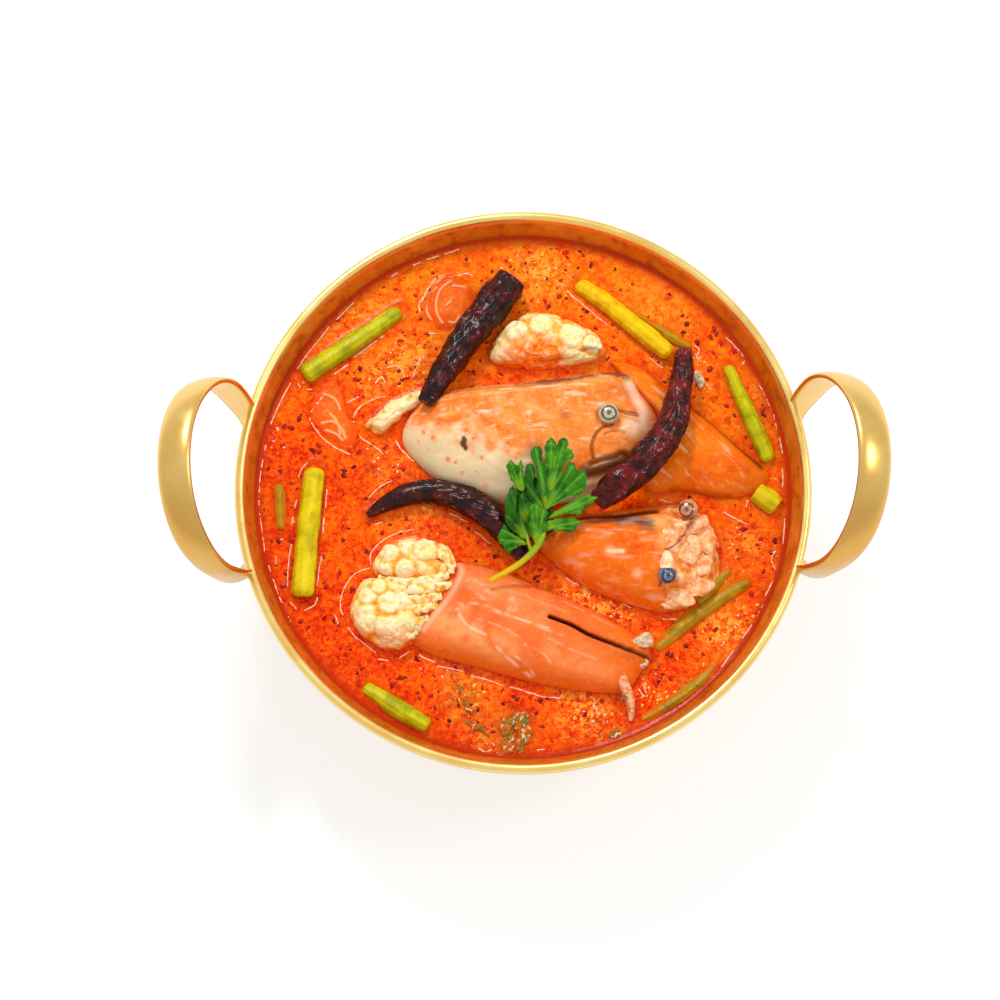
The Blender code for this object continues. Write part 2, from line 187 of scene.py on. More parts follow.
def edge_reach(loop, centre, angles):
    """How far a closed outline lies from its centre in each direction."""
    table_angles = np.linspace(-pi, pi, 721)
    table = np.zeros(len(table_angles))
    starts = loop - centre
    edges = np.roll(loop, -1, axis=0) - loop
    for number, angle in enumerate(table_angles):
        ray = (cos(angle), sin(angle))
        cross = ray[0] * edges[:, 1] - ray[1] * edges[:, 0]
        cross = np.where(np.abs(cross) < 1e-9, 1e-9, cross)
        along = (starts[:, 0] * edges[:, 1] - starts[:, 1] * edges[:, 0]) / cross
        share = (starts[:, 0] * ray[1] - starts[:, 1] * ray[0]) / cross
        hit = (share >= -1e-6) & (share <= 1 + 1e-6) & (along > 0)
        table[number] = along[hit].max() if hit.any() else 0.0
    return np.interp(angles, table_angles, table)


def read_points(verts):
    return np.array([vert.co[:] for vert in verts])


def write_points(verts, points):
    for vert, point in zip(verts, points):
        vert.co = point


def finish_piece(name, bm, material, masks=None, slot=None, stands_for=(), smooth=True):
    """Turns a bmesh in millimetres, with heights from the broth's level, into a piece of the object."""
    bmesh.ops.recalc_face_normals(bm, faces=bm.faces)
    bmesh.ops.transform(bm, matrix=Matrix.Translation((0, 0, LEVEL)) @ Matrix.Scale(MM, 4), verts=bm.verts)
    mesh = bpy.data.meshes.new(name)
    bm.to_mesh(mesh)
    bm.free()
    if smooth:
        mesh.shade_smooth()
    for mask_name, values in (masks or {}).items():
        layer = mesh.attributes.new(mask_name, "FLOAT", "POINT")
        layer.data.foreach_set("value", np.clip(values, 0, 1).astype(np.float32))
    mesh.materials.append(material)
    piece = bpy.data.objects.new(name, mesh)
    bpy.context.scene.collection.objects.link(piece)
    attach(piece, "root")
    if stands_for:
        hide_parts(*stands_for)
    return piece


# ---------------------------------------------------------------- materials


class Finish:
    """One material: a Principled shader with the nodes that paint it."""

    def __init__(self, name, roughness=0.3, metallic=0.0, **plain):
        self.material = bpy.data.materials.new(name)
        self.material.use_nodes = True
        self.tree = self.material.node_tree
        self.shader = self.tree.nodes["Principled BSDF"]
        self.shader.inputs["Roughness"].default_value = roughness
        self.shader.inputs["Metallic"].default_value = metallic
        for socket, value in plain.items():
            self.shader.inputs[socket.replace("_", " ")].default_value = value
        self.place = self.node("ShaderNodeTexCoord").outputs["Object"]

    def node(self, kind, **settings):
        made = self.tree.nodes.new(kind)
        for key, value in settings.items():
            setattr(made, key, value)
        return made

    def link(self, source, target):
        if isinstance(source, bpy.types.NodeSocket):
            self.tree.links.new(source, target)
        else:
            target.default_value = source

    def mapped(self, scale=(1, 1, 1), turn=(0, 0, 0), centre=(0, 0, 0)):
        made = self.node("ShaderNodeMapping")
        made.inputs["Scale"].default_value = scale
        made.inputs["Rotation"].default_value = turn
        made.inputs["Location"].default_value = centre
        self.link(self.place, made.inputs["Vector"])
        return made.outputs["Vector"]

    def noise(self, size, detail=3.0, rough=0.55, distort=0.0, place=None):
        """Noise whose features are about that many millimetres across."""
        made = self.node("ShaderNodeTexNoise")
        made.inputs["Scale"].default_value = 1 / (size * MM)
        made.inputs["Detail"].default_value = detail
        made.inputs["Roughness"].default_value = rough
        made.inputs["Distortion"].default_value = distort
        self.link(place or self.place, made.inputs["Vector"])
        return made.outputs["Fac"]

    def math(self, operation, *values, clamp=False):
        made = self.node("ShaderNodeMath", operation=operation, use_clamp=clamp)
        for value, socket in zip(values, made.inputs):
            self.link(value, socket)
        return made.outputs[0]

    def times(self, first, second):
        return self.math("MULTIPLY", first, second)

    def span(self, value, low, high):
        """0 below low and 1 above high, smooth between; low may be the larger."""
        made = self.node("ShaderNodeMapRange", interpolation_type="SMOOTHSTEP")
        flipped = low > high
        self.link(value, made.inputs["Value"])
        made.inputs["From Min"].default_value = min(low, high)
        made.inputs["From Max"].default_value = max(low, high)
        made.inputs["To Min"].default_value = 1.0 if flipped else 0.0
        made.inputs["To Max"].default_value = 0.0 if flipped else 1.0
        return made.outputs["Result"]

    def mask(self, name):
        return self.node("ShaderNodeAttribute", attribute_name=name).outputs["Fac"]

    def mix(self, share, first, second):
        made = self.node("ShaderNodeMix", data_type="RGBA")
        self.link(share, made.inputs["Factor"])
        self.link(first, made.inputs["A"])
        self.link(second, made.inputs["B"])
        return made.outputs["Result"]

    def blend(self, share, first, second):
        """A number between two numbers."""
        made = self.node("ShaderNodeMix", data_type="FLOAT")
        self.link(share, made.inputs["Factor"])
        self.link(first, made.inputs["A"])
        self.link(second, made.inputs["B"])
        return made.outputs["Result"]

    def spots(self, spacing, size, share, place=None, ragged=0.0006):
        made = self.node("ShaderNodeGroup", node_tree=SPOTS)
        self.link(place or self.place, made.inputs["Vector"])
        for label, value in (("Spacing", spacing), ("Size", size), ("Share", share), ("Ragged", ragged)):
            made.inputs[label].default_value = value
        return made.outputs["Mask"]

    def colour(self, source):
        self.link(source, self.shader.inputs["Base Color"])
        return self

    def rough(self, source):
        self.link(source, self.shader.inputs["Roughness"])
        return self

    def bump(self, height, strength=0.5, distance=0.2):
        made = self.node("ShaderNodeBump")
        made.inputs["Strength"].default_value = strength
        made.inputs["Distance"].default_value = distance * MM
        self.link(height, made.inputs["Height"])
        self.link(made.outputs["Normal"], self.shader.inputs["Normal"])
        return self


def speckle_group():
    """Scattered ragged spots of uneven size: a mask."""
    tree = bpy.data.node_groups.new("scattered spots", "ShaderNodeTree")
    tree.interface.new_socket("Vector", in_out="INPUT", socket_type="NodeSocketVector")
    for label, value in (("Spacing", 0.004), ("Size", 0.25), ("Share", 0.5), ("Ragged", 0.0006)):
        socket = tree.interface.new_socket(label, in_out="INPUT", socket_type="NodeSocketFloat")
        socket.default_value = value
    tree.interface.new_socket("Mask", in_out="OUTPUT", socket_type="NodeSocketFloat")
    start, end = tree.nodes.new("NodeGroupInput"), tree.nodes.new("NodeGroupOutput")

    def math(operation, first, second, clamp=False):
        made = tree.nodes.new("ShaderNodeMath")
        made.operation = operation
        made.use_clamp = clamp
        for value, socket in zip((first, second), made.inputs):
            if isinstance(value, float):
                socket.default_value = value
            else:
                tree.links.new(value, socket)
        return made.outputs[0]

    wobble = tree.nodes.new("ShaderNodeTexNoise")
    wobble.inputs["Scale"].default_value = 900
    wobble.inputs["Detail"].default_value = 2
    tree.links.new(start.outputs["Vector"], wobble.inputs["Vector"])
    centred = tree.nodes.new("ShaderNodeVectorMath")
    centred.operation = "SUBTRACT"
    centred.inputs[1].default_value = (0.5, 0.5, 0.5)
    tree.links.new(wobble.outputs["Color"], centred.inputs[0])
    shift = tree.nodes.new("ShaderNodeVectorMath")
    shift.operation = "SCALE"
    tree.links.new(centred.outputs[0], shift.inputs[0])
    tree.links.new(start.outputs["Ragged"], shift.inputs["Scale"])
    moved = tree.nodes.new("ShaderNodeVectorMath")
    tree.links.new(start.outputs["Vector"], moved.inputs[0])
    tree.links.new(shift.outputs[0], moved.inputs[1])
    cells = tree.nodes.new("ShaderNodeTexVoronoi")
    tree.links.new(moved.outputs[0], cells.inputs["Vector"])
    tree.links.new(math("DIVIDE", 1.0, start.outputs["Spacing"]), cells.inputs["Scale"])
    parts = tree.nodes.new("ShaderNodeSeparateColor")
    tree.links.new(cells.outputs["Color"], parts.inputs["Color"])
    reach = math("MULTIPLY", parts.outputs["Green"], start.outputs["Size"])
    inside = math("MULTIPLY", math("SUBTRACT", reach, cells.outputs["Distance"]), 9.0, clamp=True)
    chosen = math("LESS_THAN", parts.outputs["Red"], start.outputs["Share"])
    tree.links.new(math("MULTIPLY", inside, chosen), end.inputs["Mask"])
    return tree


SPOTS = speckle_group()


def brass_finish(name):
    """Satin brass with fine polishing lines; the wall above the broth is browner, a painted reflection of the
    broth with painted shade, and dark red in a band of painted reflection just above the broth.
    """
    paint = Finish(name, roughness=0.28, metallic=1.0)
    split = paint.node("ShaderNodeSeparateXYZ")
    paint.link(paint.place, split.inputs[0])
    square = paint.math(
        "ADD", paint.math("POWER", split.outputs["X"], 2.0), paint.math("POWER", split.outputs["Y"], 2.0)
    )
    rings = paint.node("ShaderNodeCombineXYZ")
    paint.link(paint.math("SQRT", square), rings.inputs["X"])
    paint.link(split.outputs["Z"], rings.inputs["Y"])
    paint.link(paint.times(split.outputs["X"], 0.02), rings.inputs["Z"])
    lines = paint.noise(0.35, 2.0, 0.6, place=rings.outputs[0])
    cloud = paint.noise(16, 3.0, 0.6)
    tone = paint.mix(paint.span(cloud, 0.3, 0.7), srgb(252, 206, 114), srgb(255, 224, 142))
    tone = paint.mix(paint.mask("shade"), tone, srgb(196, 138, 52))
    # painted reflection of the broth with painted shade: the inner wall's orange-brown tones, in uneven
    # patches
    mottle = paint.span(paint.noise(5, 4.0, 0.7), 0.42, 0.7)
    broth_reflection = paint.mix(mottle, srgb(224, 126, 16), srgb(180, 88, 8))
    broth_reflection = paint.mix(paint.span(paint.noise(11, 3.0, 0.6), 0.5, 0.72), broth_reflection, srgb(230, 148, 38))
    tone = paint.mix(paint.mask("inside"), tone, broth_reflection)
    # a dark red band of painted reflection of the broth on the wall just above its level
    tone = paint.mix(paint.mask("broth_tint"), tone, srgb(168, 52, 2))
    paint.colour(tone)
    paint.rough(
        paint.blend(paint.mask("inside"), paint.blend(paint.span(cloud, 0.35, 0.65), 0.24, 0.34), 0.42)
    )
    paint.link(paint.blend(paint.mask("inside"), 1.0, 0.35), paint.shader.inputs["Metallic"])
    paint.bump(lines, 0.1, 0.03)
    return paint.material


def broth_finish():
    """Opaque orange-red broth: creamy zones, red oil and dark flecks of chili."""
    paint = Finish("broth", roughness=0.16, IOR=1.36, Specular_IOR_Level=0.14)
    big = paint.noise(26, 3.0, 0.6, 0.8)
    middle = paint.noise(6, 4.0, 0.65, 0.6)
    fine = paint.noise(1.5, 4.0, 0.68, 0.3)
    grain = paint.noise(0.6, 2.0, 0.6)
    level = paint.math("ADD", paint.times(big, 0.30), paint.times(middle, 0.62))
    level = paint.math("ADD", level, paint.times(fine, 1.0))
    level = paint.math("ADD", level, paint.times(grain, 0.5))
    level = paint.math("ADD", level, paint.times(paint.mask("creamy"), 0.17))
    tone = paint.mix(paint.span(level, 0.94, 1.20), srgb(186, 20, 0), srgb(234, 58, 1))
    tone = paint.mix(paint.span(level, 1.14, 1.32), tone, srgb(246, 96, 3))
    tone = paint.mix(paint.span(level, 1.30, 1.58), tone, srgb(252, 142, 18))
    yellow = paint.times(paint.mask("yellow"), paint.span(paint.noise(2.2, 4.0, 0.7, 0.5), 0.46, 0.60))
    tone = paint.mix(yellow, tone, srgb(253, 184, 66))
    oil = paint.spots(0.0042, 0.42, 0.5)
    tone = paint.mix(paint.times(oil, 0.55), tone, srgb(186, 24, 0))
    dark = paint.spots(0.0030, 0.30, 0.34, paint.mapped(centre=(0.3, 0.2, 0)))
    tone = paint.mix(paint.times(dark, 0.75), tone, srgb(124, 12, 0))
    tone = paint.mix(paint.mask("shade"), tone, srgb(180, 40, 0))
    tone = paint.mix(paint.mask("green"), tone, srgb(150, 120, 30))
    paint.colour(tone)
    paint.bump(paint.math("ADD", fine, grain), 0.18, 0.25)
    return paint.material


def shell_finish(name, deep, light, pale):
    """Cooked prawn shell under a film of broth."""
    paint = Finish(name, roughness=0.24, IOR=1.4, Specular_IOR_Level=0.17)
    cloud = paint.noise(9, 4.0, 0.62, 0.6)
    fine = paint.noise(1.5, 3.0, 0.62)
    tone = paint.mix(paint.span(cloud, 0.35, 0.65), deep, light)
    tone = paint.mix(paint.mask("pale"), tone, pale)
    streaks = paint.noise(2.6, 4.0, 0.65, 0.5, place=paint.mapped((0.32, 1.3, 1), (0, 0, radians(12))))
    oily = paint.times(paint.mask("oily"), paint.span(streaks, 0.40, 0.62))
    tone = paint.mix(oily, tone, srgb(246, 124, 14))
    tone = paint.mix(paint.mask("orange"), tone, srgb(243, 108, 10))
    tone = paint.mix(paint.times(paint.span(fine, 0.52, 0.72), 0.30), tone, pale)
    tone = paint.mix(paint.mask("purple"), tone, srgb(100, 66, 60))
    tone = paint.mix(paint.mask("white"), tone, srgb(255, 226, 190))
    tone = paint.mix(paint.mask("dark"), tone, srgb(66, 8, 2))
    paint.colour(tone)
    paint.bump(paint.math("ADD", fine, paint.times(streaks, 0.6)), 0.2, 0.35)
    return paint.material


def meat_finish():
    paint = Finish("prawn meat", roughness=0.3, IOR=1.4, Specular_IOR_Level=0.16, Subsurface_Weight=0.15,
                   Subsurface_Scale=0.002)
    paint.shader.inputs["Subsurface Radius"].default_value = (1.0, 0.7, 0.4)
    fine = paint.noise(1.3, 3.0, 0.6)
    cloud = paint.noise(4, 3.0, 0.65, 0.4)
    tone = paint.mix(paint.span(cloud, 0.35, 0.7), srgb(253, 226, 152), srgb(255, 241, 204))
    tone = paint.mix(paint.times(paint.span(fine, 0.5, 0.7), 0.5), tone, srgb(254, 204, 100))
    tone = paint.mix(paint.mask("yellow"), tone, srgb(251, 184, 40))
    tone = paint.mix(paint.mask("orange"), tone, srgb(248, 112, 4))
    tone = paint.mix(paint.mask("pink"), tone, srgb(247, 190, 158))
    tone = paint.mix(paint.mask("dark"), tone, srgb(160, 50, 20))
    paint.colour(tone)
    paint.bump(fine, 0.25, 0.35)
    return paint.material


def chili_finish(name, deep, red):
    paint = Finish(name, roughness=0.2, IOR=1.45, Specular_IOR_Level=0.28)
    patch = paint.noise(5, 4.0, 0.65, 0.8)
    fine = paint.noise(1.6, 3.0, 0.6)
    tone = paint.mix(paint.span(patch, 0.42, 0.66), deep, red)
    tone = paint.mix(paint.times(paint.mask("ridge"), 0.4), tone, red)
    glint = paint.times(paint.span(paint.noise(1.1, 2.0, 0.5, 0.8), 0.57, 0.66), paint.mask("ridge"))
    tone = paint.mix(paint.times(glint, 0.6), tone, srgb(206, 160, 160))
    tone = paint.mix(paint.mask("cut"), tone, srgb(128, 34, 22))
    paint.colour(tone)
    paint.rough(paint.blend(fine, 0.12, 0.36))
    paint.bump(fine, 0.35, 0.5)
    return paint.material


def stem_finish(name, green, yellow, edge):
    paint = Finish(name, roughness=0.26, IOR=1.4, Specular_IOR_Level=0.2)
    cloud = paint.noise(6, 4.0, 0.6)
    fibres = paint.noise(0.9, 3.0, 0.6)
    tone = paint.mix(paint.span(cloud, 0.38, 0.62), green, yellow)
    # painted light on the upper side, and painted shade on the underside
    tone = paint.mix(paint.mask("lit"), tone, yellow)
    tone = paint.mix(paint.mask("low"), tone, edge)
    tone = paint.mix(paint.times(paint.span(fibres, 0.5, 0.75), 0.35), tone, edge)
    tone = paint.mix(paint.mask("broth"), tone, srgb(236, 84, 4))
    paint.colour(tone)
    paint.bump(fibres, 0.3, 0.35)
    return paint.material


def leaf_finish():
    paint = Finish("coriander leaf", roughness=0.36, IOR=1.42, Specular_IOR_Level=0.14)
    cloud = paint.noise(5, 4.0, 0.6)
    fine = paint.noise(0.7, 3.0, 0.6)
    tone = paint.mix(paint.span(cloud, 0.35, 0.65), srgb(26, 92, 6), srgb(46, 124, 10))
    tone = paint.mix(paint.times(paint.span(fine, 0.5, 0.7), 0.4), tone, srgb(18, 76, 6))
    # the light and deep masks carry painted light on crests and painted shade in dips and under the stalks
    tone = paint.mix(paint.mask("light"), tone, srgb(92, 160, 20))
    tone = paint.mix(paint.times(paint.mask("vein"), 0.55), tone, srgb(110, 176, 48))
    tone = paint.mix(paint.mask("deep"), tone, srgb(12, 58, 4))
    tone = paint.mix(paint.mask("stalk"), tone, srgb(138, 172, 26))
    tone = paint.mix(paint.mask("tip"), tone, srgb(222, 184, 22))
    paint.colour(tone)
    paint.bump(fine, 0.25, 0.25)
    return paint.material


def film_finish(name, tint, line, fleck):
    """A piece seen through a thin film of broth."""
    paint = Finish(name, roughness=0.2, IOR=1.36, Specular_IOR_Level=0.14)
    middle = paint.noise(3.5, 4.0, 0.65, 0.6)
    fine = paint.noise(1.0, 3.0, 0.65)
    tone = paint.mix(paint.span(middle, 0.36, 0.62), srgb(244, 92, 6), tint)
    tone = paint.mix(paint.times(paint.span(fine, 0.5, 0.62), paint.mask("flecks")), tone, fleck)
    tone = paint.mix(paint.mask("film"), tone, srgb(238, 78, 3))
    tone = paint.mix(paint.mask("line"), tone, line)
    paint.colour(tone)
    paint.bump(fine, 0.35, 0.4)
    return paint.material


def plain_finish(name, first, second, size, roughness=0.28, level=0.2):
    """Two tones in patches, with a fine relief."""
    paint = Finish(name, roughness=roughness, Specular_IOR_Level=level)
    tone = paint.mix(paint.span(paint.noise(size, 3.0, 0.6), 0.38, 0.62), first, second)
    paint.colour(tone)
    paint.bump(paint.noise(size * 0.4, 3.0, 0.6), 0.2, 0.2)
    return paint.material


# ---------------------------------------------------------------- pot


def arc(centre, radius, start, end, steps):
    angles = [radians(start + (end - start) * i / steps) for i in range(steps + 1)]
    return [(centre[0] + radius * cos(a), centre[1] + radius * sin(a)) for a in angles]


def wall_line(inset, steps=40):
    """The wall's curve from the rim down to the base, moved inwards by inset; (r, z) points in metres."""
    top = Vector((RIM_RADIUS - BEAD_RADIUS - TUCK, POT_HEIGHT - BEAD_RADIUS))
    shoulder = top - STRAIGHT_WALL * Vector((sin(WALL_LEAN), cos(WALL_LEAN)))
    foot = Vector((BASE_RADIUS + BASE_SWEEP, 0.0))
    base = Vector((BASE_RADIUS, 0.0))
    line = []
    for i in range(steps + 1):
        t = i / steps
        line.append(
            (1 - t) ** 3 * top + 3 * t * (1 - t) ** 2 * shoulder + 3 * t * t * (1 - t) * foot + t ** 3
            * base
        )
    moved = []
    for i, point in enumerate(line):
        along = line[min(i + 1, steps)] - line[max(i - 1, 0)]
        inwards = Vector((along.y, -along.x)).normalized()
        if inwards.x > 0:
            inwards.negate()
        moved.append((point.x + inset * inwards.x, max(point.y + inset * inwards.y, inset)))
    return moved


def wall_radius(height, inset=0.0):
    line = wall_line(inset)
    for (r1, z1), (r2, z2) in zip(line, line[1:]):
        if z2 <= height <= z1:
            return r2 + (r1 - r2) * (height - z2) / max(z1 - z2, 1e-9)
    return line[0][0]


def turned_mesh(profile, steps=256):
    """A full turn of a profile of (r, z) points in metres, in the millimetres that finish_piece takes."""
    bm = bmesh.new()
    verts = [bm.verts.new((r / MM, 0, (z - LEVEL) / MM)) for r, z in profile]
    edges = [bm.edges.new(pair) for pair in zip(verts, verts[1:])]
    bmesh.ops.spin(
        bm, geom=verts + edges, cent=(0, 0, 0), axis=(0, 0, 1), angle=2 * pi, steps=steps, use_merge=True
    )
    bmesh.ops.remove_doubles(bm, verts=bm.verts, dist=0.002)
    return bm


def make_pot(material):
    """The turned pot: a rolled rim with a short skirt over the curved wall."""
    inside = list(reversed(wall_line(WALL_THICKNESS)))
    centre = (RIM_RADIUS - BEAD_RADIUS, POT_HEIGHT - BEAD_RADIUS)
    bead = arc(centre, BEAD_RADIUS, 180, 0, 20)
    skirt_foot = POT_HEIGHT - RIM_SKIRT
    skirt = [(RIM_RADIUS, centre[1] - 0.001), (RIM_RADIUS - 0.0001, skirt_foot + 0.0006)]
    skirt += arc((RIM_RADIUS - 0.0007, skirt_foot + 0.0005), 0.0006, 0, -90, 6)
    outside = [(r, z) for r, z in wall_line(0.0) if z < skirt_foot]
    join = [(wall_radius(skirt_foot) + 0.0001, skirt_foot)]
    floor = [(r, WALL_THICKNESS) for r in (0.0, 0.02, 0.04)]
    under = [(r, 0.0) for r in (0.04, 0.02, 0.0)]
    bm = turned_mesh(floor + inside[:-1] + bead + skirt + join + outside + under)
    points = read_points(bm.verts)
    radius = np.hypot(points[:, 0], points[:, 1])
    reach = np.interp(points[:, 2], *np.array([((z - LEVEL) / MM, r / MM) for r, z in inside]).T)
    within = (radius < reach + 0.3) & (points[:, 2] < (centre[1] - LEVEL) / MM + 0.3)
    masks = {
        "inside": within * smoothstep(8.9, 8.1, points[:, 2]),
        # painted reflection of the broth: a dark red band on the wall just above its level
        "broth_tint": within * smoothstep(1.6, 0.4, points[:, 2]) * 0.8,
        "shade": smoothstep(99.2, 99.9, radius) * smoothstep(9.6, 8.6, points[:, 2]) * 0.6,
    }
    finish_piece("brass_pot", bm, material, masks, slot="brass", stands_for=["pot"])


def strap_frame(share):
    """Place, outward and across directions along the right handle's loop, for share from -1 to 1."""
    end_angle = pi - asin(FOOT_HALF_SPREAD / LOOP_HALF_WIDTH)
    angle = share * end_angle
    rise = Vector((cos(LOOP_TILT), 0, sin(LOOP_TILT)))
    side = Vector((0, 1, 0))
    foot_radius = wall_radius(FOOT_HEIGHT)
    foot = Vector(((foot_radius ** 2 - FOOT_HALF_SPREAD ** 2) ** 0.5, 0, FOOT_HEIGHT))
    place = foot + rise * LOOP_RISE * (cos(angle) - cos(end_angle)) + side * LOOP_HALF_WIDTH * sin(angle)
    along = (-rise * LOOP_RISE * sin(angle) + side * LOOP_HALF_WIDTH * cos(angle)).normalized()
    turn = min(max((abs(share) - 0.35) / 0.65, 0.0), 1.0)
    turn = turn * turn * (3 - 2 * turn)
    lean = LOOP_TILT + (FOOT_LEAN - LOOP_TILT) * turn
    across = Vector((-sin(lean), 0, cos(lean)))
    across = (across - along * across.dot(along)).normalized()
    return place, along.cross(across), across


def strap_section(points=14):
    """Half-round section as (across, out) points: flat inside with eased corners, domed outside."""
    half = STRAP_WIDTH / 2
    crown = STRAP_THICKNESS - STRAP_EDGE
    dome = [(half * cos(a), STRAP_EDGE + crown * sin(a)) for a in np.linspace(0, pi, points)]
    left = [(-half, SECTION_CORNER), (-half + SECTION_CORNER, 0.0)]
    flat = [(x, 0.0) for x in np.linspace(-half + 0.002, half - 0.002, 4)]
    right = [(half - SECTION_CORNER, 0.0), (half, SECTION_CORNER)]
    return dome + left + flat + right


def make_handles(material, steps=120, over=1.012):
    section = strap_section()
    for name, mirrored in (("handle_right", False), ("handle_left", True)):
        bm = bmesh.new()
        rings = []
        for step in range(steps + 1):
            share = -over + 2 * over * step / steps
            place, out, across = strap_frame(share)
            flare = 1 + FOOT_FLARE * min(max((abs(share) - FLARE_START) / (1 - FLARE_START), 0.0), 1.0) ** 2
            ends = step in (0, steps)
            ring = bmesh.ops.create_circle(bm, cap_ends=ends, segments=len(section), radius=1.0)["verts"]
            spots = [
                place + across * width * flare + out * (depth - STRAP_THICKNESS / 2)
                for width, depth in section
            ]
            # near the wall the strap dips so that it passes under the rim
            over_rim = max(0.0, max(spot.z for spot in spots) - (POT_HEIGHT - RIM_SKIRT))
            dip = over_rim * (1 - smoothstep(RIM_RADIUS, RIM_RADIUS + DIP_REACH, Vector(place[:2]).length))
            for vert, co in zip(ring, spots):
                co.z -= dip
                grow = max(1.0, (wall_radius(co.z) - WALL_THICKNESS / 2) / Vector(co[:2]).length)
                vert.co = Vector((co.x * grow, co.y * grow, co.z - LEVEL)) / MM
            rings.append(ring)
        for before, after in zip(rings, rings[1:]):
            near, far = set(before), set(after)
            edges = {edge for vert in before + after for edge in vert.link_edges}
            loops = [edge for edge in edges if set(edge.verts) <= near or set(edge.verts) <= far]
            bmesh.ops.bridge_loops(bm, edges=loops)
        if mirrored:
            bmesh.ops.scale(bm, vec=(-1, 1, 1), verts=bm.verts)
        # the half nearer the front is darker
        shade = 0.3 + 0.35 * smoothstep(2, -26, read_points(bm.verts)[:, 1])
        piece = finish_piece(
            "brass_" + name, bm, material, {"shade": shade}, slot="brass", stands_for=[name]
        )
        piece.data.set_sharp_from_angle(angle=radians(50))


# ---------------------------------------------------------------- forms of the food


BALLS = {}


def unit_ball(around, up):
    """A sphere of radius 1 as a mesh, kept for the next piece with the same counts."""
    if (around, up) not in BALLS:
        ball = bmesh.new()
        cuts = 2 if around >= 60 else 0
        bmesh.ops.create_uvsphere(
            ball, u_segments=around // (cuts + 1), v_segments=up // (cuts + 1), radius=1.0
        )
        if cuts:
            bmesh.ops.subdivide_edges(ball, edges=ball.edges, cuts=cuts, use_grid_fill=True)
        for vert in ball.verts:
            vert.co.normalize()
        BALLS[around, up] = bpy.data.meshes.new("unit_ball")
        ball.to_mesh(BALLS[around, up])
        ball.free()
    return BALLS[around, up]


def add_mesh(bm, mesh):
    """Adds a mesh to the bmesh and returns its verts there."""
    first = len(bm.verts)
    bm.from_mesh(mesh)
    bm.verts.ensure_lookup_table()
    return bm.verts[first:]


def lump(outline, height, depth, around=200, up=120, fullness=0.8, under=0.25, bm=None):
    """A dome in millimetres over a closed outline: returns the bmesh, its new verts and their points,
    and how near each is to the edge."""
    loop = smooth_path(outline, 8, closed=True)
    centre = loop.mean(axis=0)
    bm = bm or bmesh.new()
    verts = add_mesh(bm, unit_ball(around, up))
    points = read_points(verts)
    latitude = np.arcsin(np.clip(points[:, 2], -1, 1)) / (pi / 2)
    split = -1 + 2 * under
    top = latitude > split
    latitude = np.where(top, (latitude - split) / (1 - split), (latitude - split) / (1 + split))
    flat = np.cos(latitude * pi / 2)
    angle = np.arctan2(points[:, 1], points[:, 0])
    reach = edge_reach(loop, centre, angle) * flat ** fullness
    rise = np.sign(latitude) * np.abs(np.sin(latitude * pi / 2)) ** 1.1
    shaped = np.stack([
        centre[0] + reach * np.cos(angle),
        centre[1] + reach * np.sin(angle),
        np.where(rise > 0, height, depth) * rise,
    ], axis=1)
    edge = np.where(top, flat ** fullness, 1.0)
    return bm, verts, shaped, edge


def sweep_frames(route, count):
    """Evenly spaced places along a smooth route with (x, y, z, radius), and the directions there."""
    curve = smooth_path(route, 16)
    lengths = np.concatenate([[0], np.cumsum(np.linalg.norm(np.diff(curve[:, :3], axis=0), axis=1))])
    even = np.linspace(0, lengths[-1], count)
    places = np.stack([np.interp(even, lengths, curve[:, k]) for k in range(4)], axis=1)
    along = np.gradient(places[:, :3], axis=0)
    along /= np.linalg.norm(along, axis=1)[:, None]
    side = np.cross(along, (0, 0, 1.0))
    side /= np.linalg.norm(side, axis=1)[:, None]
    up = np.cross(side, along)
    return places, side, up, lengths[-1]


def rod(route, around=48, along=160, cap=0.06, blunt=0.7, bm=None, flat=1.0):
    """A long piece from a stretched sphere: returns the bmesh, its new verts and their points, the share
    along, the angle round, the outward directions, how far each ring is drawn in at the ends, and the length.
    Ends are flat at flat=1 and round at flat=0."""
    bm = bm or bmesh.new()
    verts = add_mesh(bm, unit_ball(around, along))
    points = read_points(verts)
    latitude = 0.5 + np.arcsin(np.clip(points[:, 2], -1, 1)) / pi
    share = np.clip((latitude - cap * flat) / (1 - 2 * cap * flat), 0, 1)
    end = np.clip(np.minimum(latitude, 1 - latitude) / cap, 0, 1)
    narrow = np.where(end < 1, np.sin(end * pi / 2) ** blunt, 1.0)
    angle = np.arctan2(points[:, 1], points[:, 0])
    places, side, up, length = sweep_frames(route, 400)
    pick = share * (len(places) - 1)
    low = np.clip(pick.astype(int), 0, len(places) - 2)
    part = (pick - low)[:, None]
    place = places[low] * (1 - part) + places[low + 1] * part
    across = side[low] * (1 - part) + side[low + 1] * part
    rise = up[low] * (1 - part) + up[low + 1] * part
    out = across * np.cos(angle)[:, None] + rise * np.sin(angle)[:, None]
    shaped = place[:, :3] + out * (place[:, 3] * narrow)[:, None]
    return bm, verts, shaped, share, angle, out, narrow, length


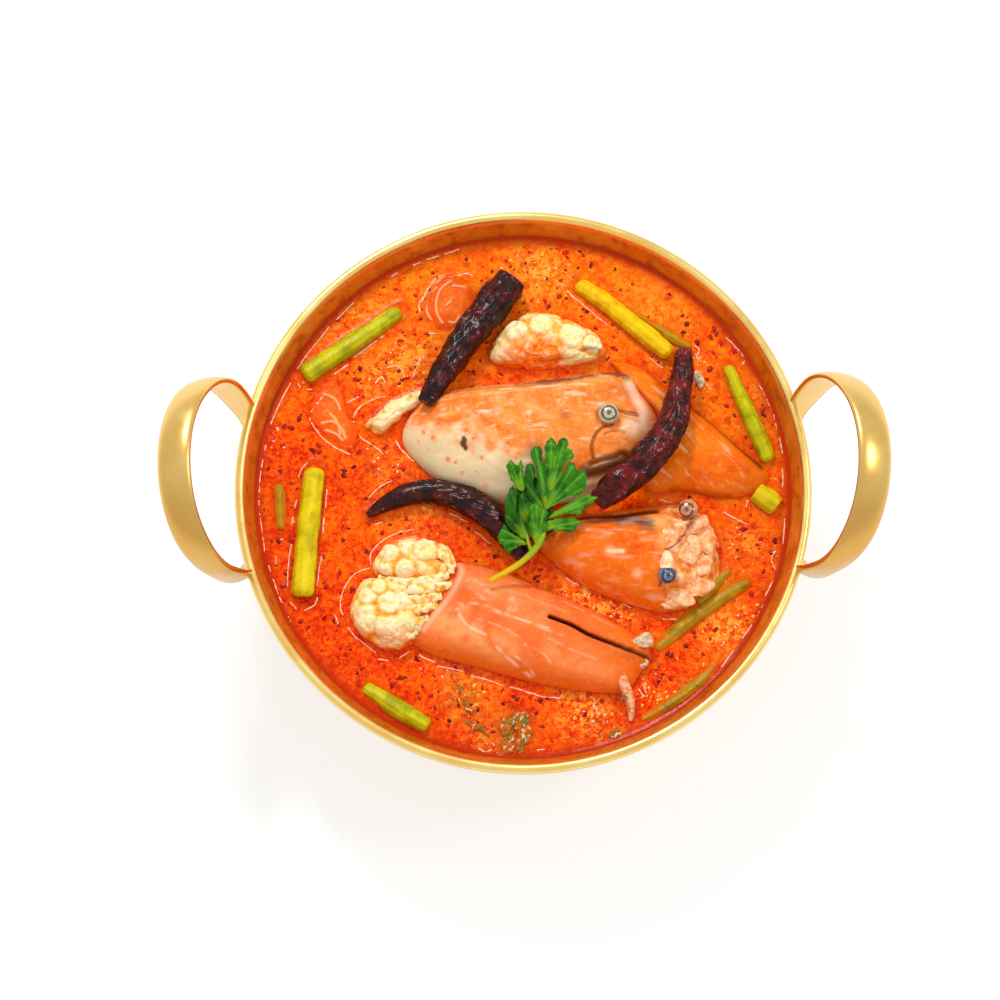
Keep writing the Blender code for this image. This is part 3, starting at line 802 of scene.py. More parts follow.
# Outlines at the broth's level, in millimetres, as in the frame's solids
OUTLINES = {
    "prawn_head_upper": [
        (-42, 18), (-31, 5), (-18.5, -0.4), (-6, -5), (13, -4.5), (28, -1), (40, 6), (47, 18), (47.5, 28),
        (41.5, 37), (36, 41.8), (13, 39.8), (-8, 38), (-29, 35), (-38, 30)
    ],
    "prawn_head_right": [
        (4, -17.5), (12.5, -27.5), (26, -36.5), (43, -42.5), (54, -43), (65, -37), (68.5, -26),
        (67, -15.5), (58, -5.5), (41, -6.5), (27, -8), (13, -10)
    ],
    "prawn_shell_front": [
        (-26, -26), (-38, -39), (-41, -50), (-33, -57), (-15, -62.5), (5, -68), (22, -71), (34, -71),
        (40, -64), (43.5, -59), (39.5, -52.5), (22.5, -42), (5.5, -34.5), (-8, -28.5)
    ],
    "prawn_meat_front_upper": [
        (-31, -35), (-24, -27.5), (-26, -21), (-36, -16.8), (-48, -19.5), (-52, -28), (-43, -33)
    ],
    "prawn_meat_front_lower": [
        (-39, -53.5), (-30, -45), (-34, -36), (-46, -31), (-55, -32), (-59.5, -40), (-57, -49), (-48, -55)
    ],
    "prawn_meat_back": [
        (-11, 50), (-7.5, 45.5), (6.5, 44.5), (22, 46.3), (29.7, 50), (27.5, 55.5), (17, 61.7), (5, 64.4),
        (-6, 59.4)
    ],
    "prawn_meat_left": [
        (-55, 24), (-50, 21.3), (-43, 27.4), (-34.5, 32.7), (-34.5, 37), (-45, 33), (-52, 27.5)
    ],
    "prawn_shell_right": [
        (31, 46.5), (40, 38), (47, 27), (49.8, 17), (41, 6.5), (44, -0.7), (58, -0.8), (68.5, -3),
        (81, -1.2), (86, 5.5), (76, 15), (62, 28), (52, 35.5), (41.5, 44.6)
    ],
    "mushroom_upper": [(-34, 66), (-27, 60.5), (-18.5, 63), (-17, 71), (-20, 77), (-28, 78)],
    "mushroom_left": [(-75, 31), (-71, 23), (-60.5, 15.5), (-58, 22), (-61.5, 29), (-63, 37), (-68, 43)],
    "herb_front": [(-9, -83), (-7, -91.5), (-1, -91), (2, -87), (1.5, -78.5), (-4, -78)],
}

# Middle lines of the long pieces: x, y, height above the broth and radius
ROUTES = {
    "dried_chili_upper": [(-34.2, 30.2, 8.5, 2.7), (-30, 37, 8.5, 3.9), (-25, 45, 8, 4.8), (-20, 53, 7, 5.3),
                          (-14, 61.5, 6.5, 5.8), (-8, 69.5, 5.8, 6.1), (-3.4, 76, 5.8, 5.6)],
    "dried_chili_left": [(-54.3, -8.4, 1.5, 1.0), (-49, -5.0, 2.2, 2.6), (-41, -1.4, 2.4, 3.9),
                         (-33, -0.2, 2.5, 4.3), (-26, -1.4, 3.0, 4.6), (-18.5, -4.6, 3.8, 4.8),
                         (-12, -9.4, 5, 4.5), (-5.5, -16.5, 6, 4.2), (0.2, -24.2, 6, 3.2)],
    "dried_chili_right": [(56.6, 45.4, 10.3, 2.8), (55.6, 36.5, 11.5, 3.7), (53.6, 27, 13, 4.5),
                          (50.8, 18.5, 14, 5.2), (46, 11, 15, 5.6), (40, 4.6, 15, 5.7),
                          (34, 0.2, 14, 5.1), (28.5, -4, 12.8, 4.4), (25, -7, 12, 3.0)],
    "green_stem_upper_left": [(-77, 42.5, 1, 3.5), (-60.6, 53.6, 1.2, 3.2), (-43, 66.3, -0.4, 3.0)],
    "green_stem_left": [(-72.6, 8.5, 1.5, 3.6), (-75, -13.7, 1.8, 3.8), (-76.8, -37, 1.5, 4.0)],
    "green_stem_far_left": [(-85.4, 3.5, -0.9, 2.0), (-84.9, -5.8, -0.5, 2.2), (-84.6, -12.9, -0.9, 1.9)],
    "green_stem_upper_right": [(20, 75.3, 0.6, 2.6), (28, 70, 1.6, 3.1), (37.2, 62.0, 2.2, 3.2),
                               (46.2, 54.2, 2.2, 3.2), (52.5, 48.8, 2, 2.8)],
    "green_stem_right": [(72.8, 44.9, -0.3, 2.0), (77.4, 32.5, 1.2, 2.5), (82.3, 20.4, 1.5, 2.8),
                         (86.2, 10.0, 0.8, 2.7)],
    "green_stem_short_right": [(81.2, -0.8, 0.9, 3.4), (85.0, -3.6, 1, 4.0), (88.6, -6.4, 0.6, 3.4)],
    "green_stem_lower_left": [(-55.3, -68.5, -0.6, 2.4), (-43.5, -76.3, 1.0, 3.1), (-33.4, -82.6, 0.6, 2.5)],
    # lying just under the surface, with only the back showing
    "sunk_stem_right": [(44.9, -56.5, -1.2, 2.3), (57.2, -46.1, -0.8, 3.0), (67.8, -38.5, -1.0, 2.8),
                        (78.5, -32.5, -1.5, 2.8)],
    "sunk_stem_fork": [(59.8, -40.1, -0.9, 2.4), (66, -33.6, -0.9, 2.6), (71.5, -28.4, -1.3, 2.0)],
    "sunk_stem_front": [(39.5, -80.8, -1.4, 2.0), (49.3, -75.5, -0.7, 2.2), (59, -68.5, -0.9, 2.3),
                        (66.5, -60.5, -1.6, 1.9)],
    "sunk_stem_back": [(34.9, 68.3, -0.6, 1.1), (45.7, 60.9, -0.2, 1.5), (53.5, 55.6, -0.4, 2.2),
                       (60.2, 51.8, -0.9, 2.0)],
}


def widest(*masks):
    return np.maximum.reduce(masks)


def make_prawn_head_upper():
    bm, verts, points, edge = lump(OUTLINES["prawn_head_upper"], 13.5, 6, 320, 220)
    x, y, z = points.T
    inner = edge < 0.999
    ragged = bump_noise(points, 2.6, 2, 3.0)
    # the back is a firm ridge near the far edge, and the cheek swells below the eye
    back = stroke(points, [(-27, 33.5), (-12, 35.6), (12, 36.4), (30, 38.4), (37, 36.5)], 7, 0.9)
    crest = stroke(points, [(6, 37.6), (14, 38.0), (23.7, 39.8), (29.5, 40.8), (36.5, 39.2)], 2.4, 0.6)
    teeth = (x * 0.24) % 1.0
    cheek = spot(points, (33, 14), 9, 0.9)
    points[:, 2] += (back * 2.6 + crest * (0.8 + 1.6 * teeth)) * inner + cheek * 1.6
    creases = [
        stroke(points, [(33.2, 26.4), (36.8, 25.4), (40.4, 25.1)], 0.9, 0.8),
        stroke(points, [(31.0, 21.3), (27.8, 19.8), (25.1, 16.8), (23.8, 12.8), (24.4, 8.6)], 1.0, 0.8),
        stroke(
            points, [(23.2, 7.2), (27.7, 8.8), (31.6, 9.8), (34.2, 11.2), (37.4, 10.6), (40.6, 13.4)],
            1.5, 0.8
        ),
        stroke(points, [(28.4, 17.2), (32, 18.6), (35.4, 17.8)], 0.8, 0.8) * 0.6,
    ]
    crease = widest(*creases)
    points[:, 2] -= crease * 1.1 + spot(points, (30.0, 24.2), 4.0, 0.25) * 1.3
    dorsal = stroke(points, [(-30, 33.4), (-19, 34.9), (-4, 35.6), (10, 36.2)], 0.9, 0.8)
    points[:, 2] += bump_noise(points, 10, 3, 1.0) * 0.6 * (1 - edge ** 4) - dorsal * 0.4
    # painted shadow along the jaw beside the right chili: the jaw is sunk and painted dark
    shaded_jaw = stroke(points, [(22, 4.0), (28, 5.5), (33, 7.4), (38, 8.6), (42, 12.5)], 4.0, 0.9)
    points[:, 2] -= shaded_jaw * 2.2
    write_points(verts, points)
    fine = bump_noise(points, 4.5, 3, 2.0)
    fall = (y - 11) * 0.9 + (x + 6) * 0.30
    pale = 1 - smoothstep(-4, 7, fall + fine * 5)
    blush = widest(
        stroke(points, [(-36, 27), (-28, 31.0), (-12, 32.0)], 8.0, 0.9) * 0.85,
        stroke(points, [(21, 30.5), (27, 31.5), (34, 29.6)], 7.5, 0.9),
        stroke(points, [(27, 14), (33, 17), (38, 17)], 7.0, 0.9) * 0.8,
        stroke(points, [(14, 7), (19, 6.4), (22, 9)], 6.5, 0.8),
        stroke(points, [(-6, 17), (4, 14), (12, 12)], 7.5, 0.9) * 0.6,
    ) * smoothstep(-0.7, 0.35, fine)
    drops = [
        ((-31.1, 17.6), 0.9), ((-36.6, 16.7), 0.6), ((-23.4, 8.6), 0.7), ((-26.3, 10.0), 0.8),
        ((-19.5, 18.5), 1.2), ((-12.9, 0.6), 1.0), ((-5.7, 14.4), 0.7), ((-21.2, 5.3), 0.6),
        ((-34.6, 20.0), 0.8), ((-29, 22.4), 0.8), ((-14.5, 9.5), 0.5), ((-3, 9), 0.5), ((-33, 13.5), 0.5),
        ((-17.2, 16.0), 0.7), ((-8.6, 20.6), 0.8), ((-4.8, 18.2), 0.9), ((-16, 5.2), 0.5)
    ]
    wobble = points + np.stack([ragged, bump_noise(points, 2.6, 2, 4.0), ragged * 0], axis=1) * 0.7
    freckles = widest(*[spot(wobble, place, size, 0.5) for place, size in drops])
    patches = widest(
        stroke(wobble, [(-34, 26.5), (-28, 23.5), (-22.4, 23.9)], 2.6, 0.8),
        stroke(wobble, [(-14, 23.1), (-8.9, 20.4), (-5.7, 18.4)], 1.4, 0.8),
    ) * 0.9
    fleck = stroke(wobble, [(-20.4, 16.2), (-21.0, 14.6), (-19.8, 13.4)], 1.7, 0.4)
    olive = widest(spot(wobble, (3.4, 12.4), 2.4, 0.9), spot(wobble, (15, 24.5), 2.0, 0.9)) * 0.35
    rays = bump_noise(points * (0.35, 1.4, 1), 2.6, 3, 6.0)
    streaks = smoothstep(0.25, 0.9, rays) * smoothstep(2, 12, y) * 0.5
    white = widest(
        spot(points, (38.5, 20.5), 3.4, 0.8) * 0.7,
        stroke(points, [(37.7, 36.7), (40.2, 31), (42.6, 27), (42, 21)], 3.4, 0.9) * 0.75,
        stroke(points, [(34.5, 19.8), (39.4, 21.4)], 1.2, 0.8) * 0.8,
        stroke(points, [(24.5, 6.6), (31, 8.6), (37, 9.6)], 0.9, 0.8) * 0.6,
        stroke(points, [(-30, 4.8), (-18, 1.4), (-6, -1.4)], 3.0, 0.9) * 0.5,
        streaks,
    )
    purple = widest(
        crest * 0.95, dorsal * 0.35, stroke(points, [(-2, 36.6), (8, 37.4), (16, 38)], 1.6, 0.8) * 0.6,
        olive
    )
    finish_piece(
        "prawn_head_upper_shell", bm,
        shell_finish("prawn head, pale", srgb(234, 122, 46), srgb(247, 158, 78), srgb(230, 202, 156)),
        {
            "pale": pale, "oily": smoothstep(-2, 12, fall) * 0.5,
            "orange": widest(freckles * 0.9, patches, blush * 0.75), "purple": purple, "white": white,
            "dark": widest(crease * 0.6, fleck * 0.9, shaded_jaw * 0.85)
        },
        "prawn_shell", ["prawn_head_upper"],
    )


def make_prawn_head_right():
    bm, verts, points, edge = lump(OUTLINES["prawn_head_right"], 13, 6, 280, 180)
    x, y, z = points.T
    inner = edge < 0.999
    front = smoothstep(45, 54, x + bump_noise(points, 6, 2, 9.0) * 2)
    fine = bump_noise(points, 3.6, 3, 4.0)
    broad = bump_noise(points, 9, 2, 5.0)
    points[:, 2] += (front * (fine * 1.6 - 2.2) + (1 - front) * broad * 0.6) * inner
    crease = widest(
        stroke(
            points, [(60, -9.7), (58.9, -12.3), (56.3, -16.2), (54.3, -19.4), (51.7, -22), (49.1, -23.4)],
            0.8, 0.7
        ),
        stroke(
            points, [(8, -15.5), (16, -12.0), (25.2, -10.9), (33, -10.9), (39.9, -9.7), (46, -9.4)], 1.7,
            0.8
        ),
        stroke(points, [(46.5, -36), (48, -30), (47, -26)], 0.9, 0.8) * 0.6,
    )
    points[:, 2] -= crease * 0.9
    write_points(verts, points)
    streaks = smoothstep(0.1, 0.9, bump_noise(points * (0.3, 1.2, 1), 3.0, 3, 7.0))
    pale = widest(
        front * smoothstep(-0.9, 0.4, fine),
        stroke(points, [(44, -13), (50, -16), (48, -21)], 5, 0.9) * 0.8
    )
    white = widest(
        spot(points, (29.5, -24), 1.8, 0.8) * 0.3,
        stroke(points, [(28.8, -23.9), (33.8, -24.3)], 1.5, 0.8) * 0.65,
        spot(points, (38.8, -31.8), 1.5, 0.8) * 0.4, streaks * (1 - front) * 0.22,
        # painted highlight on the crests of the broken front
        front * smoothstep(0.25, 0.8, fine) * 0.6,
    )
    purple = widest(
        stroke(points, [(33, -12.9), (38, -12.9), (43.5, -14.2)], 3.6, 0.8) * 0.9,
        stroke(points, [(22, -12.6), (30, -12.9)], 2.0, 0.9) * 0.6,
        stroke(points, [(40, -15.6), (44, -16.6)], 2.4, 0.9) * 0.5,
    )
    low = smoothstep(4, -8, (x - 30) * 0.25 + (y + 24))
    orange = np.clip(low * 0.8 + smoothstep(0.0, 0.7, broad) * 0.5, 0, 1) * (1 - front)
    # the dips of the broken front are painted orange
    orange_in_dips = smoothstep(-0.1, -0.7, fine) * front * 0.75
    finish_piece(
        "prawn_head_right_shell", bm,
        shell_finish("prawn head, orange", srgb(226, 82, 8), srgb(240, 108, 18), srgb(249, 180, 102)),
        {
            "pale": pale * 0.95, "oily": 0.45 * (1 - front), "orange": widest(orange * 0.8, orange_in_dips),
            "purple": purple, "white": white, "dark": crease * 0.85
        },
        "prawn_shell", ["prawn_head_right"],
    )


# broken edges of the shell round the mouth of the right head: outline, height over the broth
MOUTH_PLATES = [
    ([(50.5, -14.6), (56.6, -12.4), (62.4, -10.4), (64.0, -14.2), (59.5, -17.2), (54, -18.2)], 8.6),
    ([(60, -13.6), (64.8, -14.6), (66.8, -18.4), (65.2, -24.4), (61, -22.8), (58.6, -17.2)], 7.0),
    ([(54.4, -18.8), (59.6, -18.4), (61, -23.6), (57.4, -28.4), (53, -25.4)], 8.8),
    ([(58.2, -24.6), (65.0, -24.8), (64.6, -29.4), (61.6, -32.4), (57.4, -30.2)], 6.8),
    ([(56.4, -31.6), (61.6, -32.0), (66.0, -34.6), (61.2, -38.8), (56.2, -38)], 6.0),
    ([(49.8, -36.4), (56.4, -36.2), (58.8, -41.2), (53.2, -42.6), (48.4, -41)], 5.6),
    ([(47.6, -14.8), (51.8, -15.8), (53.8, -20.8), (50.8, -24), (46.8, -20.4)], 10.2),
]


def make_mouth_plates(material):
    bm = bmesh.new()
    edges, tones = [], []
    for number, (outline, height) in enumerate(MOUTH_PLATES):
        _, verts, points, edge = lump(outline, 1.3, 2.6, 72, 40, 0.55, 0.4, bm)
        points[:, 2] += height + bump_noise(points, 2.4, 3, number) * 0.55
        points[:, :2] += bump_noise(points, 3.0, 2, number + 30)[:, None] * 0.6
        points[:, 2] -= np.clip(points[:, 0] - 58, 0, None) * 0.25
        write_points(verts, points)
        edges.append(edge)
        tones.append(bump_noise(points, 3.0, 2, number + 60))
    edge, tone = np.concatenate(edges), np.concatenate(tones)
    masks = {
        # the white patches are painted highlight
        "white": smoothstep(0.1, 0.9, tone) * 0.7,
        "orange": smoothstep(0.0, -0.8, tone) * 0.8 + 0.5 * (edge > 0.995)
    }
    finish_piece("prawn_mouth_plates", bm, material, masks, "prawn_shell")


def make_prawn_shell_front():
    bm, verts, points, edge = lump(OUTLINES["prawn_shell_front"], 11, 6, 300, 200, fullness=0.70)
    x, y, z = points.T
    points[:, 2] += bump_noise(points, 11, 3, 6.0) * 0.8 * (1 - edge ** 4)
    slit_line = [(8.5, -46.4), (15.8, -49.2), (22.1, -52.7), (30.2, -55.7), (36.5, -57.9), (42.6, -59.8)]
    slit = stroke(points, slit_line, 1.15, 0.7)
    lip = stroke(points, [(px - 0.4, py - 1.5) for px, py in slit_line], 2.0, 0.9)
    points[:, 2] += lip * 0.5 - slit * 2.4
    folds = widest(
        stroke(
            points,
            [(-23.4, -43.3), (-19.6, -49.2), (-12.7, -53.1), (-8.3, -58.2), (-3.9, -62.1), (1.6, -66)],
            0.9, 1
        ),
        stroke(points, [(-18.9, -41.2), (-13.2, -42.5), (-6.3, -45.8), (1.8, -48.6), (8, -50.6)], 0.8, 1),
        stroke(points, [(-16, -47), (-8, -50), (-3, -53)], 0.7, 1) * 0.5,
        stroke(points, [(-12, -44), (-2, -47.4), (7.5, -51.2), (14, -53.4)], 0.7, 1) * 0.8,
        stroke(points, [(0, -56), (6, -59), (9, -63)], 0.7, 1) * 0.6,
        stroke(points, [(-3.3, -60), (0.5, -62.6), (3, -65.8)], 0.7, 1) * 0.9,
        stroke(points, [(8, -54), (16, -58), (24, -61)], 0.8, 1) * 0.4,
        stroke(points, [(-14, -31), (2, -35.5), (18, -42.5), (32, -50)], 0.8, 1) * 0.35,
        stroke(points, [(-16, -34), (0, -38.8), (14, -44.4)], 0.8, 1) * 0.3,
    )
    broken = smoothstep(-0.5, 0.3, bump_noise(points, 5, 2, 6.5))
    folds = folds * broken
    points[:, 2] += folds * 0.3
    rim = stroke(
        points,
        [(-23.0, -24.8), (-21.6, -29.5), (-23.4, -34.8), (-26.3, -39.8), (-30, -44), (-34.6, -50)], 2.4,
        0.8
    )
    points[:, 2] += rim * 1.3
    write_points(verts, points)
    fine = bump_noise(points, 5, 3, 7.0)
    sheen = widest(
        stroke(points, [(-29, -46), (-20, -52), (-8, -58)], 9.0, 1.0) * 0.75,
        stroke(points, [(-16, -33), (-6, -40), (4, -45)], 9.0, 1.0) * 0.35,
        stroke(points, [(8, -58), (20, -62.5), (30, -65)], 6.0, 1.0) * 0.35,
    )
    pale = np.clip(sheen * smoothstep(-1.1, 0.5, fine) + 0.12, 0, 1)
    low = smoothstep(0, 9, -(y + 58.5) - x * 0.26 + fine * 3)
    deep = smoothstep(18, 34, x) * 0.5
    hot = stroke(points, [(4, -30.5), (22, -38.5), (40, -50)], 5, 1.0) * 0.5
    finish_piece(
        "prawn_shell_front_skin", bm,
        shell_finish("prawn shell, coral", srgb(236, 84, 20), srgb(246, 110, 42), srgb(251, 166, 104)),
        {"pale": pale, "oily": 0.2 + deep * 0.5, "orange": widest(low * 0.9, deep, hot),
         "white": widest(folds * 0.5, rim * 0.3),
         # painted shade in the slit, and a wider darker band along it as painted shadow from the upper
         # strip's edge
         "dark": widest(slit, stroke(points, slit_line, 2.8, 1.0) * 0.3)},
        "prawn_shell", ["prawn_shell_front"],
    )


def make_prawn_shell_right():
    bm, verts, points, edge = lump(OUTLINES["prawn_shell_right"], 7.5, 5, 260, 140, fullness=0.72)
    x, y, z = points.T
    points[:, 2] += bump_noise(points, 9, 3, 8.0) * 0.8 * (1 - edge ** 4)
    write_points(verts, points)
    fine = bump_noise(points, 4, 3, 9.0)
    stripes = smoothstep(
        0.2, 0.9, bump_noise(np.stack([(x - y) * 0.14, (x + y) * 0.8, z], axis=1), 3.0, 3, 10.0)
    )
    glints = smoothstep(
        0.35, 0.7, bump_noise(np.stack([(x - y) * 0.12, (x + y) * 1.0, z], axis=1), 2.4, 2, 11.0)
    )
    dark = widest(
        stroke(points, [(54, 34.0), (62, 27.4), (70, 20.9), (76, 14.6), (83, 7.6)], 2.2, 0.9) * 0.8,
        stroke(points, [(42, 8), (47, 16), (49, 24)], 3.0, 0.9) * 0.7,
        stroke(points, [(52, -0.4), (62, -1.8), (72, -2.9)], 2.0, 0.9) * 0.4,
    )
    finish_piece(
        "prawn_shell_right_skin", bm,
        shell_finish("prawn shell, orange", srgb(232, 84, 2), srgb(244, 118, 10), srgb(251, 164, 62)),
        {"pale": stripes * 0.7 * (1 - edge ** 6), "oily": np.full(len(x), 0.5),
         "orange": smoothstep(-0.2, 0.7, fine) * 0.6,
         "white": glints * 0.35 * (1 - edge ** 4), "dark": dark},
        "prawn_shell", ["prawn_shell_right"],
    )


def make_meat(node, height, seed, sizes, material, juice, balls=()):
    """Lumpy cooked meat: pale swellings with yellow juice in the creases."""
    bm, verts, points, edge = lump(OUTLINES[node], height, 5, 220, 150, fullness=0.62)
    middle = points[:, :2].mean(axis=0)
    inner = edge < 0.999
    big = domes(points, sizes[0], seed)
    small = domes(points, sizes[1], seed + 5)
    fine = bump_noise(points, 2.2, 3, seed)
    for centre, radius in balls:
        ball = spot(points, centre, radius, 0.35)
        big = np.maximum(big * (1 - spot(points, centre, radius * 1.25, 0.3) * 0.4), ball * 0.9)
    relief = (big - 0.55) * 2.2 + (small - 0.5) * 0.8 + fine * 0.45
    away = points[:, :2] - middle
    away /= np.maximum(np.linalg.norm(away, axis=1), 1e-6)[:, None]
    points[:, :2] += away * (relief * smoothstep(0.5, 1.0, edge) * 0.7)[:, None]
    points[:, 2] += relief * inner * (1 - smoothstep(0.85, 1.0, edge) * 0.6)
    write_points(verts, points)
    crevice = smoothstep(0.80, 0.35, big + fine * 0.2)
    thin = smoothstep(0.6, 0.2, small) * 0.4
    wash = juice(points) * smoothstep(-0.9, 0.3, fine)
    finish_piece(
        node + "_lobes", bm, material,
        {"yellow": np.clip(crevice * 0.85 + thin + smoothstep(0.86, 1.0, edge) * 0.5, 0, 1),
         "orange": np.clip(wash + smoothstep(0.93, 1.0, edge) * 0.7 + crevice ** 2 * 0.35, 0, 1),
         "pink": smoothstep(0.3, 0.9, fine) * 0.45,
         "dark": stroke(points, [(20.5, 49.4), (24, 50.2), (27.4, 49.8)], 1.2, 0.7) * 0.6},
        "prawn_meat", [node],
    )


def make_flesh(material):
    """Stringy yellow flesh between the two lobes, running into the open shell, and its pale curls."""
    bm = bmesh.new()
    strands = [
        [(-50, -31, 3.5, 1.2), (-42, -33.5, 6.4, 1.9), (-34, -33.2, 7.8, 2.0), (-26, -31, 7.2, 1.4)],
        [(-46, -36, 6.4, 1.4), (-38, -36.2, 8.2, 1.9), (-30, -35.4, 8.2, 1.8), (-25, -34.4, 7.2, 1.2)],
        [(-42, -40, 7.6, 1.4), (-35, -39.4, 8.4, 1.8), (-28.5, -38.2, 7.6, 1.4)],
        [(-42, -44.4, 7.0, 1.5), (-36, -42.8, 7.9, 1.9), (-30, -41.4, 7.0, 1.3)],
        [(-45, -49, 5.6, 1.3), (-39, -48, 6.6, 2.0), (-33, -45.6, 6.6, 1.4)],
        [(-49.6, -53, 3.8, 1.3), (-43, -52.4, 4.6, 2.0), (-37, -50, 4.8, 1.5)],
        [(-33, -24.5, 8.2, 1.2), (-28, -24.0, 8.0, 2.1), (-25.4, -26.6, 7.4, 1.8), (-25, -30.6, 7.4, 1.2)],
    ]
    rise, tone = [], []
    for number, route in enumerate(strands):
        _, verts, points, share, angle, out, narrow, _ = rod(route, 28, 80, 0.12, 0.6, bm)
        relief = bump_noise(points, 2.0, 3, 70 + number)
        points = points + out * (relief * 0.55 * narrow)[:, None]
        write_points(verts, points)
        rise.append(np.sin(angle))
        tone.append(relief)
    rise, tone = np.concatenate(rise), np.concatenate(tone)
    masks = {
        "yellow": np.clip(smoothstep(0.7, -0.2, rise) * 0.8 + smoothstep(0.3, -0.5, tone) * 0.8, 0, 1),
        "orange": np.clip(smoothstep(0.2, -0.7, rise) * 0.8 + smoothstep(0.0, -0.7, tone) * 0.6, 0, 1),
        "pink": smoothstep(0.3, 0.9, tone) * 0.5,
    }
    finish_piece("prawn_flesh_strands", bm, material, masks, "prawn_meat")


def make_chili(node, seed, material, wrinkle=1.0, smooth_until=0.0, cap=0.035, blunt=0.7):
    bm, verts, points, share, angle, out, narrow, length = rod(ROUTES[node], 96, 260, cap, blunt)
    ring = np.stack(
        [np.cos(angle) * 4.0, np.sin(angle) * 4.0, share * length * 0.30 + np.sin(angle * 2) * 0.6],
        axis=1
    )
    folds = bump_noise(ring, 2.4, 2, seed)
    ridges = 1 - np.abs(bump_noise(ring, 1.9, 2, seed + 3)) * 1.6
    dents = bump_noise(points, 6.0, 2, seed + 1)
    calm = smoothstep(smooth_until - 0.15, smooth_until + 0.15, share) * 0.8 + 0.2
    depth = (folds * 0.6 + ridges * 0.35 + dents * 0.45) * wrinkle * narrow * calm
    points = points + out * depth[:, None]
    write_points(verts, points)
    finish_piece(
        node + "_skin", bm, material,
        {"ridge": smoothstep(0.1, 0.8, folds), "cut": (1 - narrow) * 0.5 * (share > 0.5)},
        "dried_chili", [node],
    )


def make_calyx(material):
    """The open stalk end of the right chili: a ragged paler collar."""
    bm, verts, points, share, angle, out, narrow, _ = rod(
        [(56.9, 48.2, 9.6, 2.6), (56.8, 46.6, 10.0, 3.0), (56.5, 44.6, 10.4, 3.1)], 40, 40, 0.2, 0.35
    )
    flutes = np.cos(angle * 5 + 0.6) * 0.35 + bump_noise(points, 1.6, 2, 80) * 0.3
    points = points + out * (flutes * narrow)[:, None]
    write_points(verts, points)
    finish_piece(
        "dried_chili_collar", bm, material, {"ridge": narrow * 0.7, "cut": smoothstep(0.4, 0.0, share)},
        "dried_chili"
    )


def make_stem(node, seed, material, sunk=False):
    bm, verts, points, share, angle, out, narrow, length = rod(ROUTES[node], 48, 160, 0.06, 0.5, flat=0.25)
    ribs = np.cos(angle * 9) * 0.10 + np.cos(angle * 4 + 1) * 0.12
    waves = bump_noise(points, 8, 2, seed) * 0.3
    nicks = bump_noise(points, 1.6, 2, seed + 2) * 0.10
    points = points + out * ((ribs + waves + nicks) * narrow)[:, None]
    write_points(verts, points)
    rib = smoothstep(0.0, 1.0, np.cos(angle * 9)) * 0.5
    # painted light: the upper side is made lighter; painted shade: the underside is made darker, with darker
    # lines on the ribs
    lit = smoothstep(0.35, 0.95, np.sin(angle)) * smoothstep(-0.6, 0.4, bump_noise(points, 6, 2, seed + 3))
    wavy = bump_noise(points, 2.6, 3, seed + 5)
    broth_tint = smoothstep(1.5, -0.2, points[:, 2] + wavy * (1.2 if sunk else 0.6))
    extra = {} if sunk else {"slot": "green_stem", "stands_for": [node]}
    finish_piece(
        node + "_stalk", bm, material,
        {"lit": lit * 0.75, "low": np.clip(smoothstep(0.55, -0.3, np.sin(angle)) * 0.8 + rib * 0.4, 0, 1),
         "broth": broth_tint * 0.85},
        **extra,
    )


def make_eye(name, place, radius, pale, dark, squash=0.6, shift=(0.0, 0.0)):
    """A stalked eye: a ball with uneven dark rings round a paler middle."""
    bm = bmesh.new()
    verts = bmesh.ops.create_uvsphere(bm, u_segments=96, v_segments=64, radius=radius)["verts"]
    points = read_points(verts)
    wobble = bump_noise(points, radius * 0.8, 3, radius)
    off = np.hypot(points[:, 0] / radius - shift[0], points[:, 1] / radius - shift[1]) + wobble * 0.07
    points += points / radius * wobble[:, None] * 0.12
    points[:, 2] *= squash
    write_points(verts, points + np.array(place))
    band = smoothstep(0.52, 0.60, off) * (1 - smoothstep(0.74, 0.84, off))
    pupil = 1 - smoothstep(0.16, 0.34, off)
    paint = Finish(name, roughness=0.16, Specular_IOR_Level=0.6)
    cloud = paint.noise(0.9, 3.0, 0.65)
    tone = paint.mix(paint.span(cloud, 0.4, 0.6), pale, tuple(0.62 * c for c in pale[:3]) + (1.0,))
    tone = paint.mix(paint.mask("ring"), tone, dark)
    paint.colour(tone)
    paint.bump(cloud, 0.15, 0.15)
    finish_piece(name, bm, paint.material, {"ring": widest(band * 0.9, pupil * 0.85)}, "prawn_shell")


def make_small_rods(name, routes, material, around=20, along=60, ragged=0.15, slot=None, stands_for=()):
    """Feelers, legs and curls, all in one piece."""
    bm = bmesh.new()
    for number, route in enumerate(routes):
        _, verts, points, share, angle, out, narrow, _ = rod(route, around, along, 0.1, 0.6, bm)
        points = points + out * (bump_noise(points, 1.6, 2, number) * ragged * narrow)[:, None]
        write_points(verts, points)
    return finish_piece(name, bm, material, None, slot, stands_for)


# ---------------------------------------------------------------- coriander

